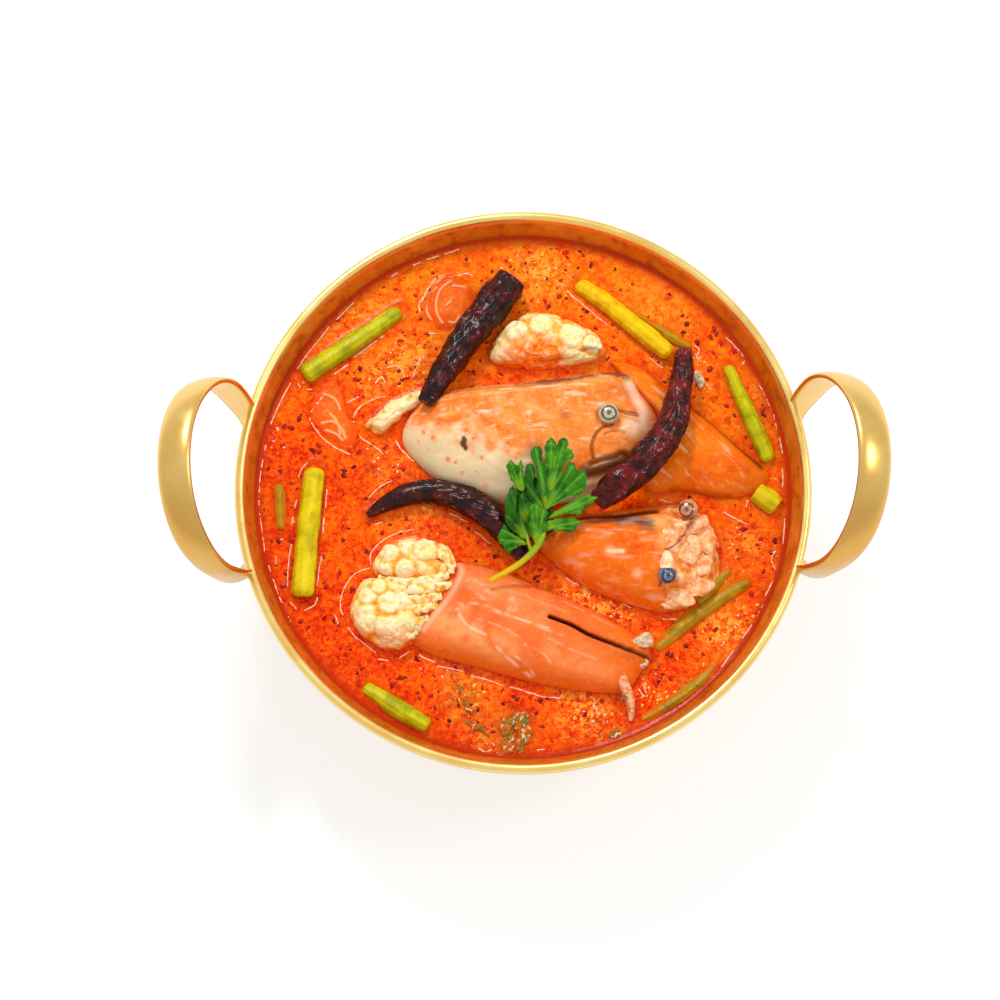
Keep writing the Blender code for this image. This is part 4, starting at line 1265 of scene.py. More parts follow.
# leaflets: outline, height of the middle over the broth, slope along x and y, veins from the leaf's foot
LEAFLETS = [
    (
        [
            (-4.0, -4.0), (0, 1.0), (4, 2.0), (8.4, -1.0), (10.6, -7.0), (9, -13.6), (5, -19.4),
            (1.2, -18), (-2.6, -11)
        ],
        12.9, (0.0, 0.0), (5, -19), [(0, 0), (8, -2), (-2, -9)], "deep"
    ),
    (
        [
            (-9.0, -19.4), (-7.0, -14.8), (-5.3, -16.2), (-2.5, -18.4), (0.3, -19.9), (0.9, -21.7),
            (-1.2, -22.0), (-3.3, -23.0), (-5.4, -24.5), (-7.4, -21.9)
        ],
        13.4, (0.05, 0.04), (1.2, -21), [(-7.6, -16.6), (-8.4, -20), (-5.2, -23.4)], "mid"
    ),
    (
        [
            (-5.7, -4.7), (-4.1, -1.9), (-2.0, -3.3), (-3.1, -6.9), (-2.4, -10.2), (-0.4, -13.8),
            (0.7, -16.3), (1.3, -19.5), (-0.1, -19.9), (-2.9, -18.0), (-5.3, -15.9), (-6.3, -12.6),
            (-6.4, -8.3)
        ],
        15.0, (0.03, 0.05), (0.8, -19), [(-4.4, -3), (-5.6, -12)], "deep"
    ),
    (
        [
            (-1.7, -5.1), (-0.3, -3.3), (1.5, -4.8), (3.9, -7.0), (2.8, -10.6), (0.7, -14.1),
            (-1.1, -12.3), (-2.1, -8.7)
        ],
        14.2, (0.0, 0.03), (1.6, -13), [(-0.6, -4.4), (2.8, -7)], "deep"
    ),
    (
        [
            (-5.6, 4.7), (-5.5, 5.9), (-4.4, 7.8), (-3.4, 6.5), (-2.5, 6.0), (-1.7, 5.7), (-1.0, 7.5),
            (-0.2, 5.7), (0.0, 2.8), (0.3, 0.3), (0.8, -1.9), (-0.3, -3.4), (-2.0, -2.4), (-3.7, -0.1),
            (-4.8, 2.1)
        ],
        15.4, (0.02, 0.06), (-0.6, -3), [(-4.4, 7), (-1.0, 6.8), (-4.4, 2.6)], "mid"
    ),
    (
        [
            (0.9, 5.4), (2.0, 6.8), (3.7, 5.5), (4.0, 2.8), (3.4, 0.2), (4.2, -3.4), (5.9, -6.3),
            (7.7, -10.6), (4.9, -8.8), (2.2, -6.2), (0.8, -3.3), (0.1, 0.3), (0.6, 2.8)
        ],
        15.2, (0.0, 0.02), (7, -10), [(2.2, 5.8), (1.2, -1)], "deep"
    ),
    (
        [
            (11.4, 2.3), (13.0, 3.9), (14.4, 2.6), (15.4, 5.7), (17.4, 6.4), (18.4, 4.2), (19.6, 3.6),
            (21.3, 3.4), (21.8, 1.4), (21.2, -2.1), (19.9, -4.4), (17.6, -5.3), (14.1, -6.7), (9.5, -8.8),
            (7.7, -10.2), (6.7, -7.0), (7.8, -2.0)
        ],
        16.2, (0.05, 0.03), (8, -9.6), [(17, 5), (20.6, 2.4), (20, -3), (13, 2.8)], "mid"
    ),
    (
        [
            (2.4, 9.7), (3.1, 11.3), (4.6, 12.5), (6.1, 11.6), (6.7, 10.0), (6.4, 7.8), (7.6, 5.3),
            (8.6, 1.3), (8.6, -5.1), (7.6, -9.6), (5.4, -4.4), (4.9, 0.9), (4.4, 3.8), (3.5, 6.4),
            (2.5, 8.2)
        ],
        16.4, (0.0, 0.04), (7.8, -9), [(4.4, 11.4), (6, 5)], "mid"
    ),
    (
        [
            (7.6, 11.6), (8.1, 13.6), (9.5, 14.9), (11.0, 13.8), (11.7, 12.2), (12.5, 14.4), (14.4, 14.8),
            (15.7, 13.0), (15.2, 11.2), (17.2, 10.3), (17.4, 8.2), (15.8, 7.2), (14.6, 5.9), (13.5, 3.9),
            (12.0, 0.6), (9.6, -4.4), (8.6, -4.8), (8.2, -0.4), (7.7, 4.6), (7.4, 8.4)
        ],
        17.4, (0.0, 0.05), (9.2, -4), [(9.6, 14), (14.2, 13.6), (16.4, 9), (11, 8)], "light"
    ),
    (
        [
            (7.3, -14.9), (9.1, -13.6), (11.9, -13.1), (14.7, -12.8), (17.5, -12.9), (18.6, -13.8),
            (20.0, -14.4), (18.6, -15.2), (17.8, -16.6), (15.3, -17.6), (11.8, -17.4), (9.0, -16.7),
            (7.0, -17.6)
        ],
        14.8, (0.0, 0.05), (7.4, -16), [(19, -14.4), (16.6, -16.6)], "light"
    ),
    (
        [
            (8.0, -13.2), (11.2, -10.6), (14.8, -8.2), (18.3, -6.5), (22.2, -5.2), (23.8, -5.8),
            (25.6, -6.2), (24.0, -7.4), (23.4, -8.4), (21.6, -8.9), (21.4, -10.4), (20.0, -10.4),
            (19.3, -12.0), (16.8, -11.6), (13.3, -11.9), (10.5, -12.6)
        ],
        16.6, (0.10, 0.02), (8.6, -13), [(24.6, -6.4), (20.6, -10.6), (19, -7.4)], "light"
    ),
    (
        [
            (2.3, -9.1), (4.6, -8.0), (6.3, -9.8), (8.1, -10.4), (7.7, -14.2), (7.8, -16.3), (6.9, -18.8),
            (4.8, -21.5), (3.9, -22.4), (2.9, -19.5), (2.0, -15.9), (1.9, -12.4)
        ],
        16.9, (0.0, 0.06), (4.6, -21.6), [(4.4, -9), (6.8, -10.6), (3, -12)], "light"
    ),
]

STALKS = [
    [(6.9, -15.8, 15.3, 0.8), (6.2, -19.2, 15.2, 1.15), (4.4, -22.8, 14.7, 1.15), (1.4, -26.1, 14.2, 1.05),
     (-2.2, -28.9, 13.7, 1.0), (-6.8, -31.5, 13.1, 0.9), (-11.9, -34.1, 12.5, 0.75)],
    [(0.9, -18.4, 14.2, 0.5), (1.6, -21.6, 14.2, 0.55), (2.6, -24.6, 14.2, 0.6)],
]


def make_coriander(material):
    bm = bmesh.new()
    masks = {name: [] for name in ("light", "vein", "deep", "stalk", "tip")}
    for number, (outline, height, slope, foot, tips, shade) in enumerate(LEAFLETS):
        _, verts, points, edge = lump(outline, 0.3, 0.3, 150, 34, 1.0, 0.5, bm)
        middle = points[:, :2].mean(axis=0)
        away = points[:, :2] - middle
        ripple = bump_noise(points * (1, 1, 0), 4.0, 2, number + 90)
        teeth = bump_noise(points * (1, 1, 0), 1.2, 2, number + 95) * smoothstep(0.7, 1.0, edge) * 0.5
        points[:, :2] += away / np.maximum(np.linalg.norm(away, axis=1), 1e-6)[:, None] * teeth[:, None]
        veins = widest(*[stroke(points, [foot, tip], 0.7, 0.8) for tip in tips])
        gutter = widest(*[stroke(points, [foot, tip], 3.0, 1.0) for tip in tips])
        lift = away @ np.array(slope) + ripple * 0.5 + (1 - gutter) * 0.5 - smoothstep(0.7, 1.0, edge) * 0.5
        points[:, 2] += height + lift - veins * 0.12
        write_points(verts, points)
        masks["vein"].append(veins)
        # painted light on the crests of the leaflet's ripples and painted shade in their dips, over a tone
        # set per leaflet
        masks["light"].append((0.6 if shade == "light" else 0.1) * smoothstep(-0.9, 0.6, ripple))
        masks["deep"].append((0.55 if shade == "deep" else 0.1) + smoothstep(0.0, -0.8, ripple) * 0.35)
        masks["stalk"].append(spot(points, foot, 3.2, 0.8) * 0.6)
        masks["tip"].append(np.zeros(len(points)))
    for number, route in enumerate(STALKS):
        _, verts, points, share, angle, out, narrow, _ = rod(route, 24, 120, 0.04, 0.5, bm)
        write_points(verts, points + out * (np.cos(angle * 5) * 0.06 * narrow)[:, None])
        plain = np.zeros(len(points))
        masks["vein"].append(plain)
        masks["light"].append(plain + 0.3)
        # painted shade on the underside of the stalk
        masks["deep"].append(smoothstep(0.3, -0.8, np.sin(angle)) * 0.4)
        masks["stalk"].append(plain + 1)
        masks["tip"].append(smoothstep(0.25, 0.8, share) * (number == 0))
    joined = {name: np.concatenate(parts) for name, parts in masks.items()}
    finish_piece("coriander_leaves", bm, material, joined, "coriander", ["coriander_sprig"])


# ---------------------------------------------------------------- things in the film of the broth


def make_mushroom(node, height, lines, seed, material):
    """A slice lying in the broth: only pale lines and speckles show through the film."""
    bm, verts, points, edge = lump(OUTLINES[node], height, 3, 180, 90, fullness=0.75)
    ridges = widest(*[stroke(points, line, 0.9, 0.7) for line in lines])
    wavy = bump_noise(points, 3.0, 3, seed)
    points[:, 2] += (ridges * 0.5 + wavy * 0.25) * (edge < 0.999)
    write_points(verts, points)
    film = np.clip(smoothstep(0.4, 0.95, edge) + smoothstep(0.0, 0.9, wavy) * 0.4, 0, 1)
    finish_piece(
        node + "_slice", bm, material,
        {
            "film": film, "flecks": smoothstep(-0.4, 0.4, bump_noise(points, 6, 2, seed + 1)) * 0.6,
            "line": ridges * 0.75
        },
        "mushroom", [node],
    )


def make_herbs(material):
    """Limp grey-green leaves bunched at the front, speckled with foam."""
    bm = bmesh.new()
    sprays = [
        ([(-9, -83), (-7, -79.4), (-3.6, -80.6), (-4.4, -85), (-8, -86.6)], 0.9),
        ([(-4.6, -79.2), (-1.2, -77.4), (1.4, -78.6), (0.4, -82.6), (-3.6, -83.6)], 1.3),
        ([(-2.4, -82), (1.4, -81.4), (2.4, -85.4), (0.2, -88.8), (-2.6, -86.4)], 0.8),
        ([(-7.8, -86), (-4, -85), (-3, -89), (-5, -92), (-8, -90.6)], 0.7),
        ([(-4, -87), (-1, -87.4), (-0.6, -90.6), (-3, -91.8)], 1.1),
        ([(-24.4, -67.8), (-22, -68.8), (-19.6, -74), (-17.4, -78.6), (-20, -77.6), (-22.8, -72)], 0.25),
        ([(-21, -79.6), (-16, -81.4), (-12, -85.6), (-14.6, -85.2), (-19.4, -82.2)], 0.2),
        ([(27.6, -86.4), (30.2, -84), (33.0, -85.6), (30, -87.6)], 0.3),
    ]
    film, line = [], []
    for number, (outline, height) in enumerate(sprays):
        _, verts, points, edge = lump(outline, 1.0, 1.6, 64, 40, 0.8, 0.4, bm)
        crumple = bump_noise(points, 2.2, 3, number + 120)
        points[:, 2] += height + crumple * 0.7 - 0.4
        points[:, :2] += bump_noise(points, 2.4, 2, number + 140)[:, None] * 0.5
        write_points(verts, points)
        film.append(smoothstep(0.4, -0.4, points[:, 2] - 0.2) * 0.6)
        line.append(smoothstep(0.35, 0.7, bump_noise(points, 1.3, 2, number + 160)) * 0.85)
    masks = {
        "film": np.concatenate(film), "line": np.concatenate(line), "flecks": np.ones(len(bm.verts)) * 0.7
    }
    finish_piece("herb_front_leaves", bm, material, masks, "green_stem", ["herb_front"])


# thin bright lines on the broth: partly foam, partly painted highlight on the meniscus
FOAM_AND_HIGHLIGHT_LINES = [
    [(-22.0, 89.2), (-27.1, 87.5)], [(-29.3, 86.8), (-33.7, 85.5)], [(-35.5, 84.5), (-38.4, 83.5)],
    [(-43.9, 80.6), (-46.1, 79.3)], [(-59.5, 69.7), (-62.8, 66.3), (-65.6, 63.3)],
    [(-68.2, 60.7), (-72.1, 55.4), (-76.4, 49.8), (-80.0, 44.2)],
    [(-81.7, 40.1), (-84.9, 33.8), (-88.6, 25.0)],
    [(-89.9, 18.4), (-91.3, 11.8), (-92.2, 3.0), (-92.2, -4.3), (-91.6, -10.4), (-90.1, -21.0)],
    [
        (-88.6, -25.5), (-87.4, -29.9), (-84.0, -38.9), (-79.6, -47.8), (-77.3, -53.0), (-76.1, -54.1),
        (-73.1, -58.2), (-68.8, -62.6)
    ],
    [(-43.2, 62.2), (-49.0, 57.3), (-54.7, 52.8), (-59.1, 49.5)],
    [(-61.2, 46.9), (-66.3, 43.2), (-70.2, 40.6)], [(-80.7, 43.7), (-79.6, 40.7), (-78.1, 38.6)],
    [(-75.9, 37.7), (-74.1, 37.6)],
    [
        (-67.3, 39.4), (-70.9, 34.3), (-74.8, 28.3), (-73.3, 24.2), (-69.0, 19.0), (-65.0, 16.0),
        (-60.4, 14.1)
    ],
    [(-63.3, 31.6), (-60.4, 33.4), (-57.6, 34.9)],
    [
        (-48.2, 34.8), (-51.8, 34.1), (-56.8, 31.5), (-59.3, 27.4), (-58.6, 23.4), (-56.1, 19.6),
        (-51.8, 16.3), (-48.9, 14.0)
    ],
    [(-44.6, 18.8), (-42.5, 15.4), (-37.4, 10.6), (-33.9, 8.0), (-29.2, 5.4)],
    [(-45.7, 4.4), (-50.3, 1.9), (-54.2, -2.1)],
    [(-78.5, 5.8), (-77.6, 8.7), (-75.4, 10.9), (-72.4, 12.4)], [(-68.6, 1.4), (-69.2, -5.4)],
    [(-69.6, -8.4), (-70.0, -14.4)], [(-70.4, -22.6), (-71.4, -28.6), (-71.9, -33.1)],
    [(-79.3, -2.3), (-79.8, -5.3)], [(-80.3, -8.3), (-80.9, -11.3)],
    [(-80.8, -18.1), (-81.8, -25.5), (-82.0, -33.0)], [(-81.0, -38.6), (-78.8, -41.0)],
    [(-76.2, -41.6), (-72.6, -39.6), (-71.6, -37.0)], [(-34.5, 71.6), (-36.3, 68.9), (-35.9, 65.9)],
    [(-30.1, 78.6), (-33.4, 74.0), (-35.1, 69.6)], [(-23.5, 78.9), (-19.9, 80.0), (-17.0, 79.2)],
    [(-47.9, 45.3), (-44.3, 46.0), (-42.1, 44.1), (-41.4, 41.8)],
    [(-51.8, 39.7), (-49.7, 41.9), (-48.2, 40.0)], [(-35.6, 49.3), (-37.0, 45.9), (-38.5, 41.8)],
    [(-33.0, 58.2), (-30.1, 57.5)], [(-25.4, -7.6), (-19.5, -10.7)],
    [(-17.0, -14.1), (-14.8, -15.6), (-11.5, -18.7)], [(-51.8, -11.5), (-48.9, -10.2)],
    [(-53.2, -25.8), (-52.9, -21.3), (-48.6, -16.8), (-42.7, -14.0), (-38.7, -13.2)],
    [(-53.6, -26.9), (-58.6, -28.7), (-62.4, -33.9), (-63.6, -39.1), (-62.8, -43.5)],
    [(-65.6, -43.5), (-64.2, -46.5)], [(-61.1, -47.9), (-58.0, -51.4), (-54.0, -54.8), (-51.4, -56.8)],
    [(-50.7, -59.0), (-47.0, -59.3)], [(-43.4, -58.6), (-39.8, -56.2)], [(-36.5, -57.5), (-31.3, -60.4)],
    [(-30.0, -61.4), (-26.1, -62.4), (-21.1, -63.4)], [(-18.5, -65.0), (-12.7, -66.6), (-7.0, -68.4)],
    [(-5.4, -68.9), (-0.7, -70.4), (5.8, -72.2), (12.3, -73.0)], [(91.0, 7.6), (90.8, 0.8)],
    [(91.2, -10.5), (90.3, -19.5)], [(87.7, -21.8), (86.1, -24.7), (87.1, -28.5)],
    [(87.6, -30.0), (85.4, -34.4), (83.7, -37.7)], [(82.7, -41.1), (78.8, -47.7), (75.0, -52.8)],
    [(72.0, -56.9), (67.5, -63.0)], [(60.8, -69.6), (58.6, -71.8)], [(49.0, -79.1), (46.0, -80.8)],
    [(69.8, -7.9), (74.1, -10.2), (78.1, -12.4)], [(78.6, -2.1), (78.1, -6.3)],
    [(47.8, -3.4), (53.6, -4.8)], [(16.3, 73.2), (21.5, 68.6), (26.3, 64.2), (30.6, 60.4)],
    [(45.4, 48.0), (49.8, 44.4)], [(13.2, 75.9), (16.2, 75.1)],
    [(72.7, 55.6), (77.4, 50.6), (78.8, 48.2)], [(83.6, 38.7), (86.0, 34.1), (88.0, 28.7)],
    [(88.7, 27.1), (89.6, 22.1)], [(90.4, 18.7), (91.3, 13.0)],
    [(61.4, 52.8), (63.0, 50.9), (61.9, 48.6), (63.4, 46.6)], [(64.8, 38.9), (66.6, 36.2)],
    [(79.1, 47.3), (78.0, 45.3)], [(88.3, 36.1), (89.0, 31.4)], [(76.9, 10.4), (79.5, 8.5)],
    [(87.6, 4.2), (88.7, 3.4)], [(-16.4, -90.0), (-13.9, -91.2), (-11.7, -90.6)],
    [(3.7, -90.9), (6.7, -90.4)], [(-9.9, -91.6), (-8.9, -92.0)], [(-80.9, -9.0), (-79.9, -10.5)],
    [(-84.8, -16.6), (-83.7, -16.2)], [(-86.2, -22.2), (-86.0, -25.2)], [(40.6, -68.0), (41.2, -70.9)],
    [(39.5, -70.4), (40.5, -73.0)], [(23.1, -75.1), (25.2, -78.8)], [(25.5, -35.5), (30.5, -38.2)],
    [(33.0, -39.5), (37.0, -41.6)], [(14.5, -31.0), (19.0, -33.6)], [(69.9, -33.0), (70.6, -27.6)],
    [(47.5, -45.6), (53.5, -46.0)],
]


def outside_pieces(places, room=0.0):
    """Which places, seen from above, lie clear of every piece standing in the broth."""
    clear = np.hypot(places[:, 0], places[:, 1]) < CLEAR_RADIUS
    for outline in OUTLINES.values():
        loop = smooth_path(outline, 4, closed=True)
        centre = loop.mean(axis=0)
        away = places[:, :2] - centre
        reach = edge_reach(loop, centre, np.arctan2(away[:, 1], away[:, 0]))
        clear &= np.hypot(away[:, 0], away[:, 1]) > reach + room
    for name, route in ROUTES.items():
        if name != "dried_chili_right":
            clear &= distance_to_path(places, smooth_path(route, 5)) > max(p[3] for p in route) * 0.8 + room
    return clear


def make_foam_and_highlight_lines(material):
    bm = bmesh.new()
    for number, path in enumerate(FOAM_AND_HIGHLIGHT_LINES):
        route = [(px, py, FOAM_HEIGHT, FOAM_RADIUS) for px, py in path]
        length = sum(np.hypot(*np.subtract(b, a)) for a, b in zip(path[:-1], path[1:]))
        _, verts, points, share, angle, out, narrow, _ = rod(
            route, 10, 12 + 12 * int(length / 4), 0.1, 0.8, bm
        )
        beads = bump_noise(np.stack([share * length, share * 0 + number, share * 0], axis=1), 1.3, 2, 200)
        points = points + out * (np.clip(beads * 0.15, -0.12, 0.12) * narrow)[:, None]
        sway = bump_noise(np.stack([share * length, share * 0, share * 0 + number], axis=1), 4.0, 2, 201)
        points[:, :2] += sway[:, None] * 0.22
        write_points(verts, points)
    finish_piece("foam_and_highlight_lines", bm, material)


def make_scattered(
    name, count, sizes, seed, material, height=0.0, squash=0.5, ragged=0.3, zones=None, room=0.5
):
    """Many small bits strewn over the broth in one piece; zones are (x, y, spread) to gather them."""
    random = np.random.RandomState(seed)
    seedling = bmesh.new()
    bmesh.ops.create_icosphere(seedling, subdivisions=2, radius=1.0)
    crumb = bpy.data.meshes.new("crumb")
    seedling.to_mesh(crumb)
    seedling.free()
    bm = bmesh.new()
    places = np.empty((0, 3))
    while len(places) < count:
        if zones:
            zone = np.array(zones)[random.randint(len(zones), size=count)]
            tries = np.stack(
                [random.normal(zone[:, 0], zone[:, 2]), random.normal(zone[:, 1], zone[:, 2])], axis=1
            )
        else:
            tries = random.uniform(-SCATTER_HALF, SCATTER_HALF, (count * 2, 2))
        tries = np.hstack([tries, np.zeros((len(tries), 1))])
        places = np.vstack([places, tries[outside_pieces(tries, room)]])
    for place in places[:count]:
        radius = sizes[0] + (sizes[1] - sizes[0]) * random.uniform() ** 2.2
        verts = add_mesh(bm, crumb)
        points = read_points(verts)
        points *= 1 + ragged * bump_noise(points + place, 0.9, 1, seed)[:, None]
        stretch = random.uniform(0.75, 1.3)
        turn = random.uniform(0, 2 * pi)
        x, y = points[:, 0] * stretch, points[:, 1] / stretch
        points[:, 0] = x * cos(turn) - y * sin(turn)
        points[:, 1] = x * sin(turn) + y * cos(turn)
        points[:, 2] *= squash
        write_points(verts, points * radius + place + np.array((0, 0, height)))
    bpy.data.meshes.remove(crumb)
    finish_piece(name, bm, material)


# ---------------------------------------------------------------- broth surface


def make_broth(material):
    bm = bmesh.new()
    reach = (BROTH_RADIUS + BROTH_OVERLAP) / MM
    hub = 0.4
    verts = [bm.verts.new((hub + (reach - hub) * k / BROTH_RINGS, 0, 0)) for k in range(BROTH_RINGS + 1)]
    edges = [bm.edges.new(pair) for pair in zip(verts, verts[1:])]
    bmesh.ops.spin(
        bm, geom=verts + edges, cent=(0, 0, 0), axis=(0, 0, 1), angle=2 * pi, steps=146, use_merge=True
    )
    bmesh.ops.remove_doubles(bm, verts=bm.verts, dist=0.001)
    inner = [edge for edge in bm.edges if edge.is_boundary and edge.verts[0].co.length < 1]
    bmesh.ops.contextual_create(bm, geom=inner)
    bmesh.ops.subdivide_edges(bm, edges=[e for e in bm.edges if len(e.link_faces) > 0 and e not in inner],
                              cuts=2, use_grid_fill=True)
    points = read_points(bm.verts)
    away = np.full(len(points), 6.0)
    for outline in OUTLINES.values():
        loop = smooth_path(outline, 4, closed=True)
        away = np.minimum(away, distance_to_path(points, np.vstack([loop, loop[:1]]), 6))
    for name, route in ROUTES.items():
        if name.startswith("sunk") or name in ("dried_chili_right", "dried_chili_upper"):
            continue
        curve = smooth_path(route, 5)
        afloat = curve[:, 2].mean()
        radius = np.mean([max(r * r - afloat * afloat, 0.2) ** 0.5 for r in curve[:, 3]])
        away = np.minimum(away, np.abs(distance_to_path(points, curve, 9) - radius))
    wall = reach - 0.9 - np.hypot(points[:, 0], points[:, 1])
    points[:, 2] = bump_noise(points, 15, 2, 11.0) * 0.12 + bump_noise(points, 4.0, 2, 12.0) * 0.04
    points[:, 2] += 0.8 * np.exp(-np.clip(wall, 0, None) / 0.9) + 0.6 * np.exp(-away / 0.8)
    write_points(bm.verts, points)
    x, y = points[:, 0], points[:, 1]
    creamy = smoothstep(-50, 80, x * 0.45 + y * 0.9) + 0.35 * bump_noise(points, 22, 2, 13.0)
    zones = [
        ((6, 81), 9, 0.7), ((24, -38), 10, 0.9), ((33, -42), 6, 0.7), ((20, -78), 9, 0.8),
        ((70, -50), 9, 0.8), ((60, -74), 8, 0.5), ((-40, 48), 11, 0.55), ((-52, 42), 8, 0.5),
        ((-60, 62), 12, 0.55), ((-46, 8), 8, 0.3), ((48, 66), 10, 0.35), ((76, -20), 7, 0.45),
        ((-20, -70), 9, 0.5), ((-14, -86), 7, 0.5), ((-34, -10), 9, 0.35), ((30, -88), 6, 0.7),
        ((85, 35), 4, 0.6)
    ]
    yellow = widest(*[spot(points, centre, size, 0.9) * share for centre, size, share in zones])
    green = widest(spot(points, (-21, -73), 7, 0.9), spot(points, (-5, -84), 8, 0.8) * 0.8,
                   spot(points, (-27, 71), 5, 0.9) * 0.5, spot(points, (68, -37), 7, 0.9) * 0.8,
                   spot(points, (-52, 14), 4, 0.9) * 0.4, spot(points, (-85, -4), 4, 0.9) * 0.6) * 0.6
    green *= smoothstep(-0.3, 0.5, bump_noise(points, 2.4, 3, 14.0))
    band = np.exp(-np.clip(wall - 0.5, 0, None) / (2.0 + 1.2 * bump_noise(points, 12, 2, 16.0)))
    shade = widest(band * 0.95, np.exp(-away / 1.1) * 0.55)
    finish_piece(
        "broth_surface", bm, material,
        {"creamy": creamy, "yellow": yellow, "green": green, "shade": shade}, "broth", ["broth"],
    )


# ---------------------------------------------------------------- build


def build_prawns():
    make_prawn_head_upper()
    make_prawn_head_right()
    make_prawn_shell_front()
    make_prawn_shell_right()
    meat = meat_finish()
    make_meat(
        "prawn_meat_front_upper", 9.5, 21, (6.5, 3.0), meat,
        lambda p: smoothstep(-27, -33, p[:, 1]) * 0.5,
        [((-41.1, -29.0), 3.6), ((-34, -22), 4.4), ((-46.5, -23), 3.6)]
    )
    make_meat(
        "prawn_meat_front_lower", 9.0, 22, (7.0, 3.2), meat,
        lambda p: smoothstep(-47, -53, p[:, 1]) * 0.6,
        [((-46.6, -40.6), 4.2), ((-54, -38), 3.4), ((-50, -34.6), 3.0)]
    )
    make_meat("prawn_meat_back", 8.0, 23, (7.5, 3.4), meat,
              lambda p: spot(p, (4, 49.5), 10, 0.5) * smoothstep(58, 50, p[:, 1]),
              [((-2, 57), 4.6), ((7, 59), 4.4), ((18, 55), 5.2), ((25, 52), 3.6)])
    make_meat("prawn_meat_left", 4.5, 24, (5.0, 2.6), meat, lambda p: smoothstep(-44, -52, p[:, 0]) * 0.3)
    make_flesh(meat)
    make_eye("prawn_eye_upper", (29.9, 24.2, 14.3), 3.5, srgb(212, 196, 158), srgb(52, 58, 48), 0.5)
    make_eye(
        "prawn_eye_right_low", (48.9, -32.4, 12.0), 3.1, srgb(112, 128, 158), srgb(10, 14, 30), 0.85,
        (0.1, -0.2)
    )
    make_eye(
        "prawn_eye_right_high", (56.9, -8.9, 10.2), 3.4, srgb(232, 148, 96), srgb(66, 44, 46), 0.6,
        (-0.25, -0.2)
    )
    peach = plain_finish("pale shell", srgb(255, 226, 190), srgb(250, 186, 130), 2.0)
    leg = plain_finish("leg shell", srgb(246, 186, 140), srgb(222, 120, 70), 1.6)
    feeler = plain_finish("feeler", srgb(120, 66, 40), srgb(196, 120, 76), 1.6)
    make_small_rods(
        "prawn_eye_stalks", [
            [(48.9, -24.6, 10.6, 1.6), (49.1, -27.4, 11.6, 2.4), (49.0, -30.4, 11.6, 2.6)],
            [(46.4, -39.0, 5.0, 1.0), (48.8, -41.8, 4.6, 1.1), (51.8, -42.0, 4.4, 0.9)],
        ], peach, 28, 60, 0.3,
    )
    make_small_rods(
        "prawn_feelers",
        [
            [
                (60.2, -9.4, 9.6, 0.5), (58.9, -12.3, 10.4, 0.45), (56.3, -16.2, 11.2, 0.4),
                (54.3, -19.4, 11.6, 0.35), (51.7, -22, 11.8, 0.35), (49.1, -23.4, 11.9, 0.3)
            ],
            [(59.8, -10.6, 9.2, 0.3), (57.4, -13.8, 10.2, 0.35), (56.0, -14.8, 10.6, 0.3)],
            [(32.9, -75.2, 4.0, 0.5), (33.6, -74.0, 4.6, 0.95), (34.4, -72.8, 4.9, 0.5)],
            [(33.4, 26.2, 13.4, 0.22), (36.8, 25.4, 12.6, 0.25), (40.0, 25.2, 11.4, 0.2)],
        ],
        feeler, 12, 80, 0.08,
    )
    make_small_rods(
        "prawn_leg_tip",
        [
            [
                (32.9, -65.4, 4.6, 1.3), (34.0, -69.4, 4.4, 1.9), (35.4, -73.4, 3.2, 1.8),
                (36.2, -77.6, 1.6, 1.3), (36.2, -81.0, 0.4, 0.9)
            ],
        ],
        leg, 32, 90, 0.35, "prawn_shell", ["prawn_leg"],
    )
    tab = plain_finish("shell chip", srgb(236, 204, 170), srgb(186, 150, 112), 1.4)
    bm = bmesh.new()
    for number, (outline, height) in enumerate((
        ([(36.6, -54.6), (40.4, -51.6), (42.8, -51.4), (44.2, -55.0), (41.4, -56.6)], 5.4),
        ([(37.6, -60.4), (41.4, -60.0), (42.6, -61.2), (40.8, -63.2), (38.2, -62.4)], 2.6),
        ([(60.2, 42.0), (62.6, 43.4), (64.6, 39.0), (63.0, 36.8), (61.4, 39.0)], 0.6),
    )):
        _, verts, points, edge = lump(outline, 1.0, 1.6, 56, 32, 0.6, 0.4, bm)
        points[:, 2] += height + bump_noise(points, 1.8, 2, 170 + number) * 0.5
        write_points(verts, points)
    finish_piece("shell_chips", bm, tab)
    make_mouth_plates(mouth_finish())


def mouth_finish():
    paint = Finish("prawn mouth plates", roughness=0.3, Specular_IOR_Level=0.4)
    tone = paint.mix(
        paint.span(paint.noise(2.6, 3.0, 0.6, 0.4), 0.38, 0.62), srgb(246, 158, 92), srgb(253, 196, 142)
    )
    tone = paint.mix(paint.mask("orange"), tone, srgb(238, 104, 20))
    tone = paint.mix(paint.mask("white"), tone, srgb(255, 228, 200))
    paint.colour(tone)
    paint.bump(paint.noise(1.0, 3.0, 0.6), 0.3, 0.3)
    return paint.material


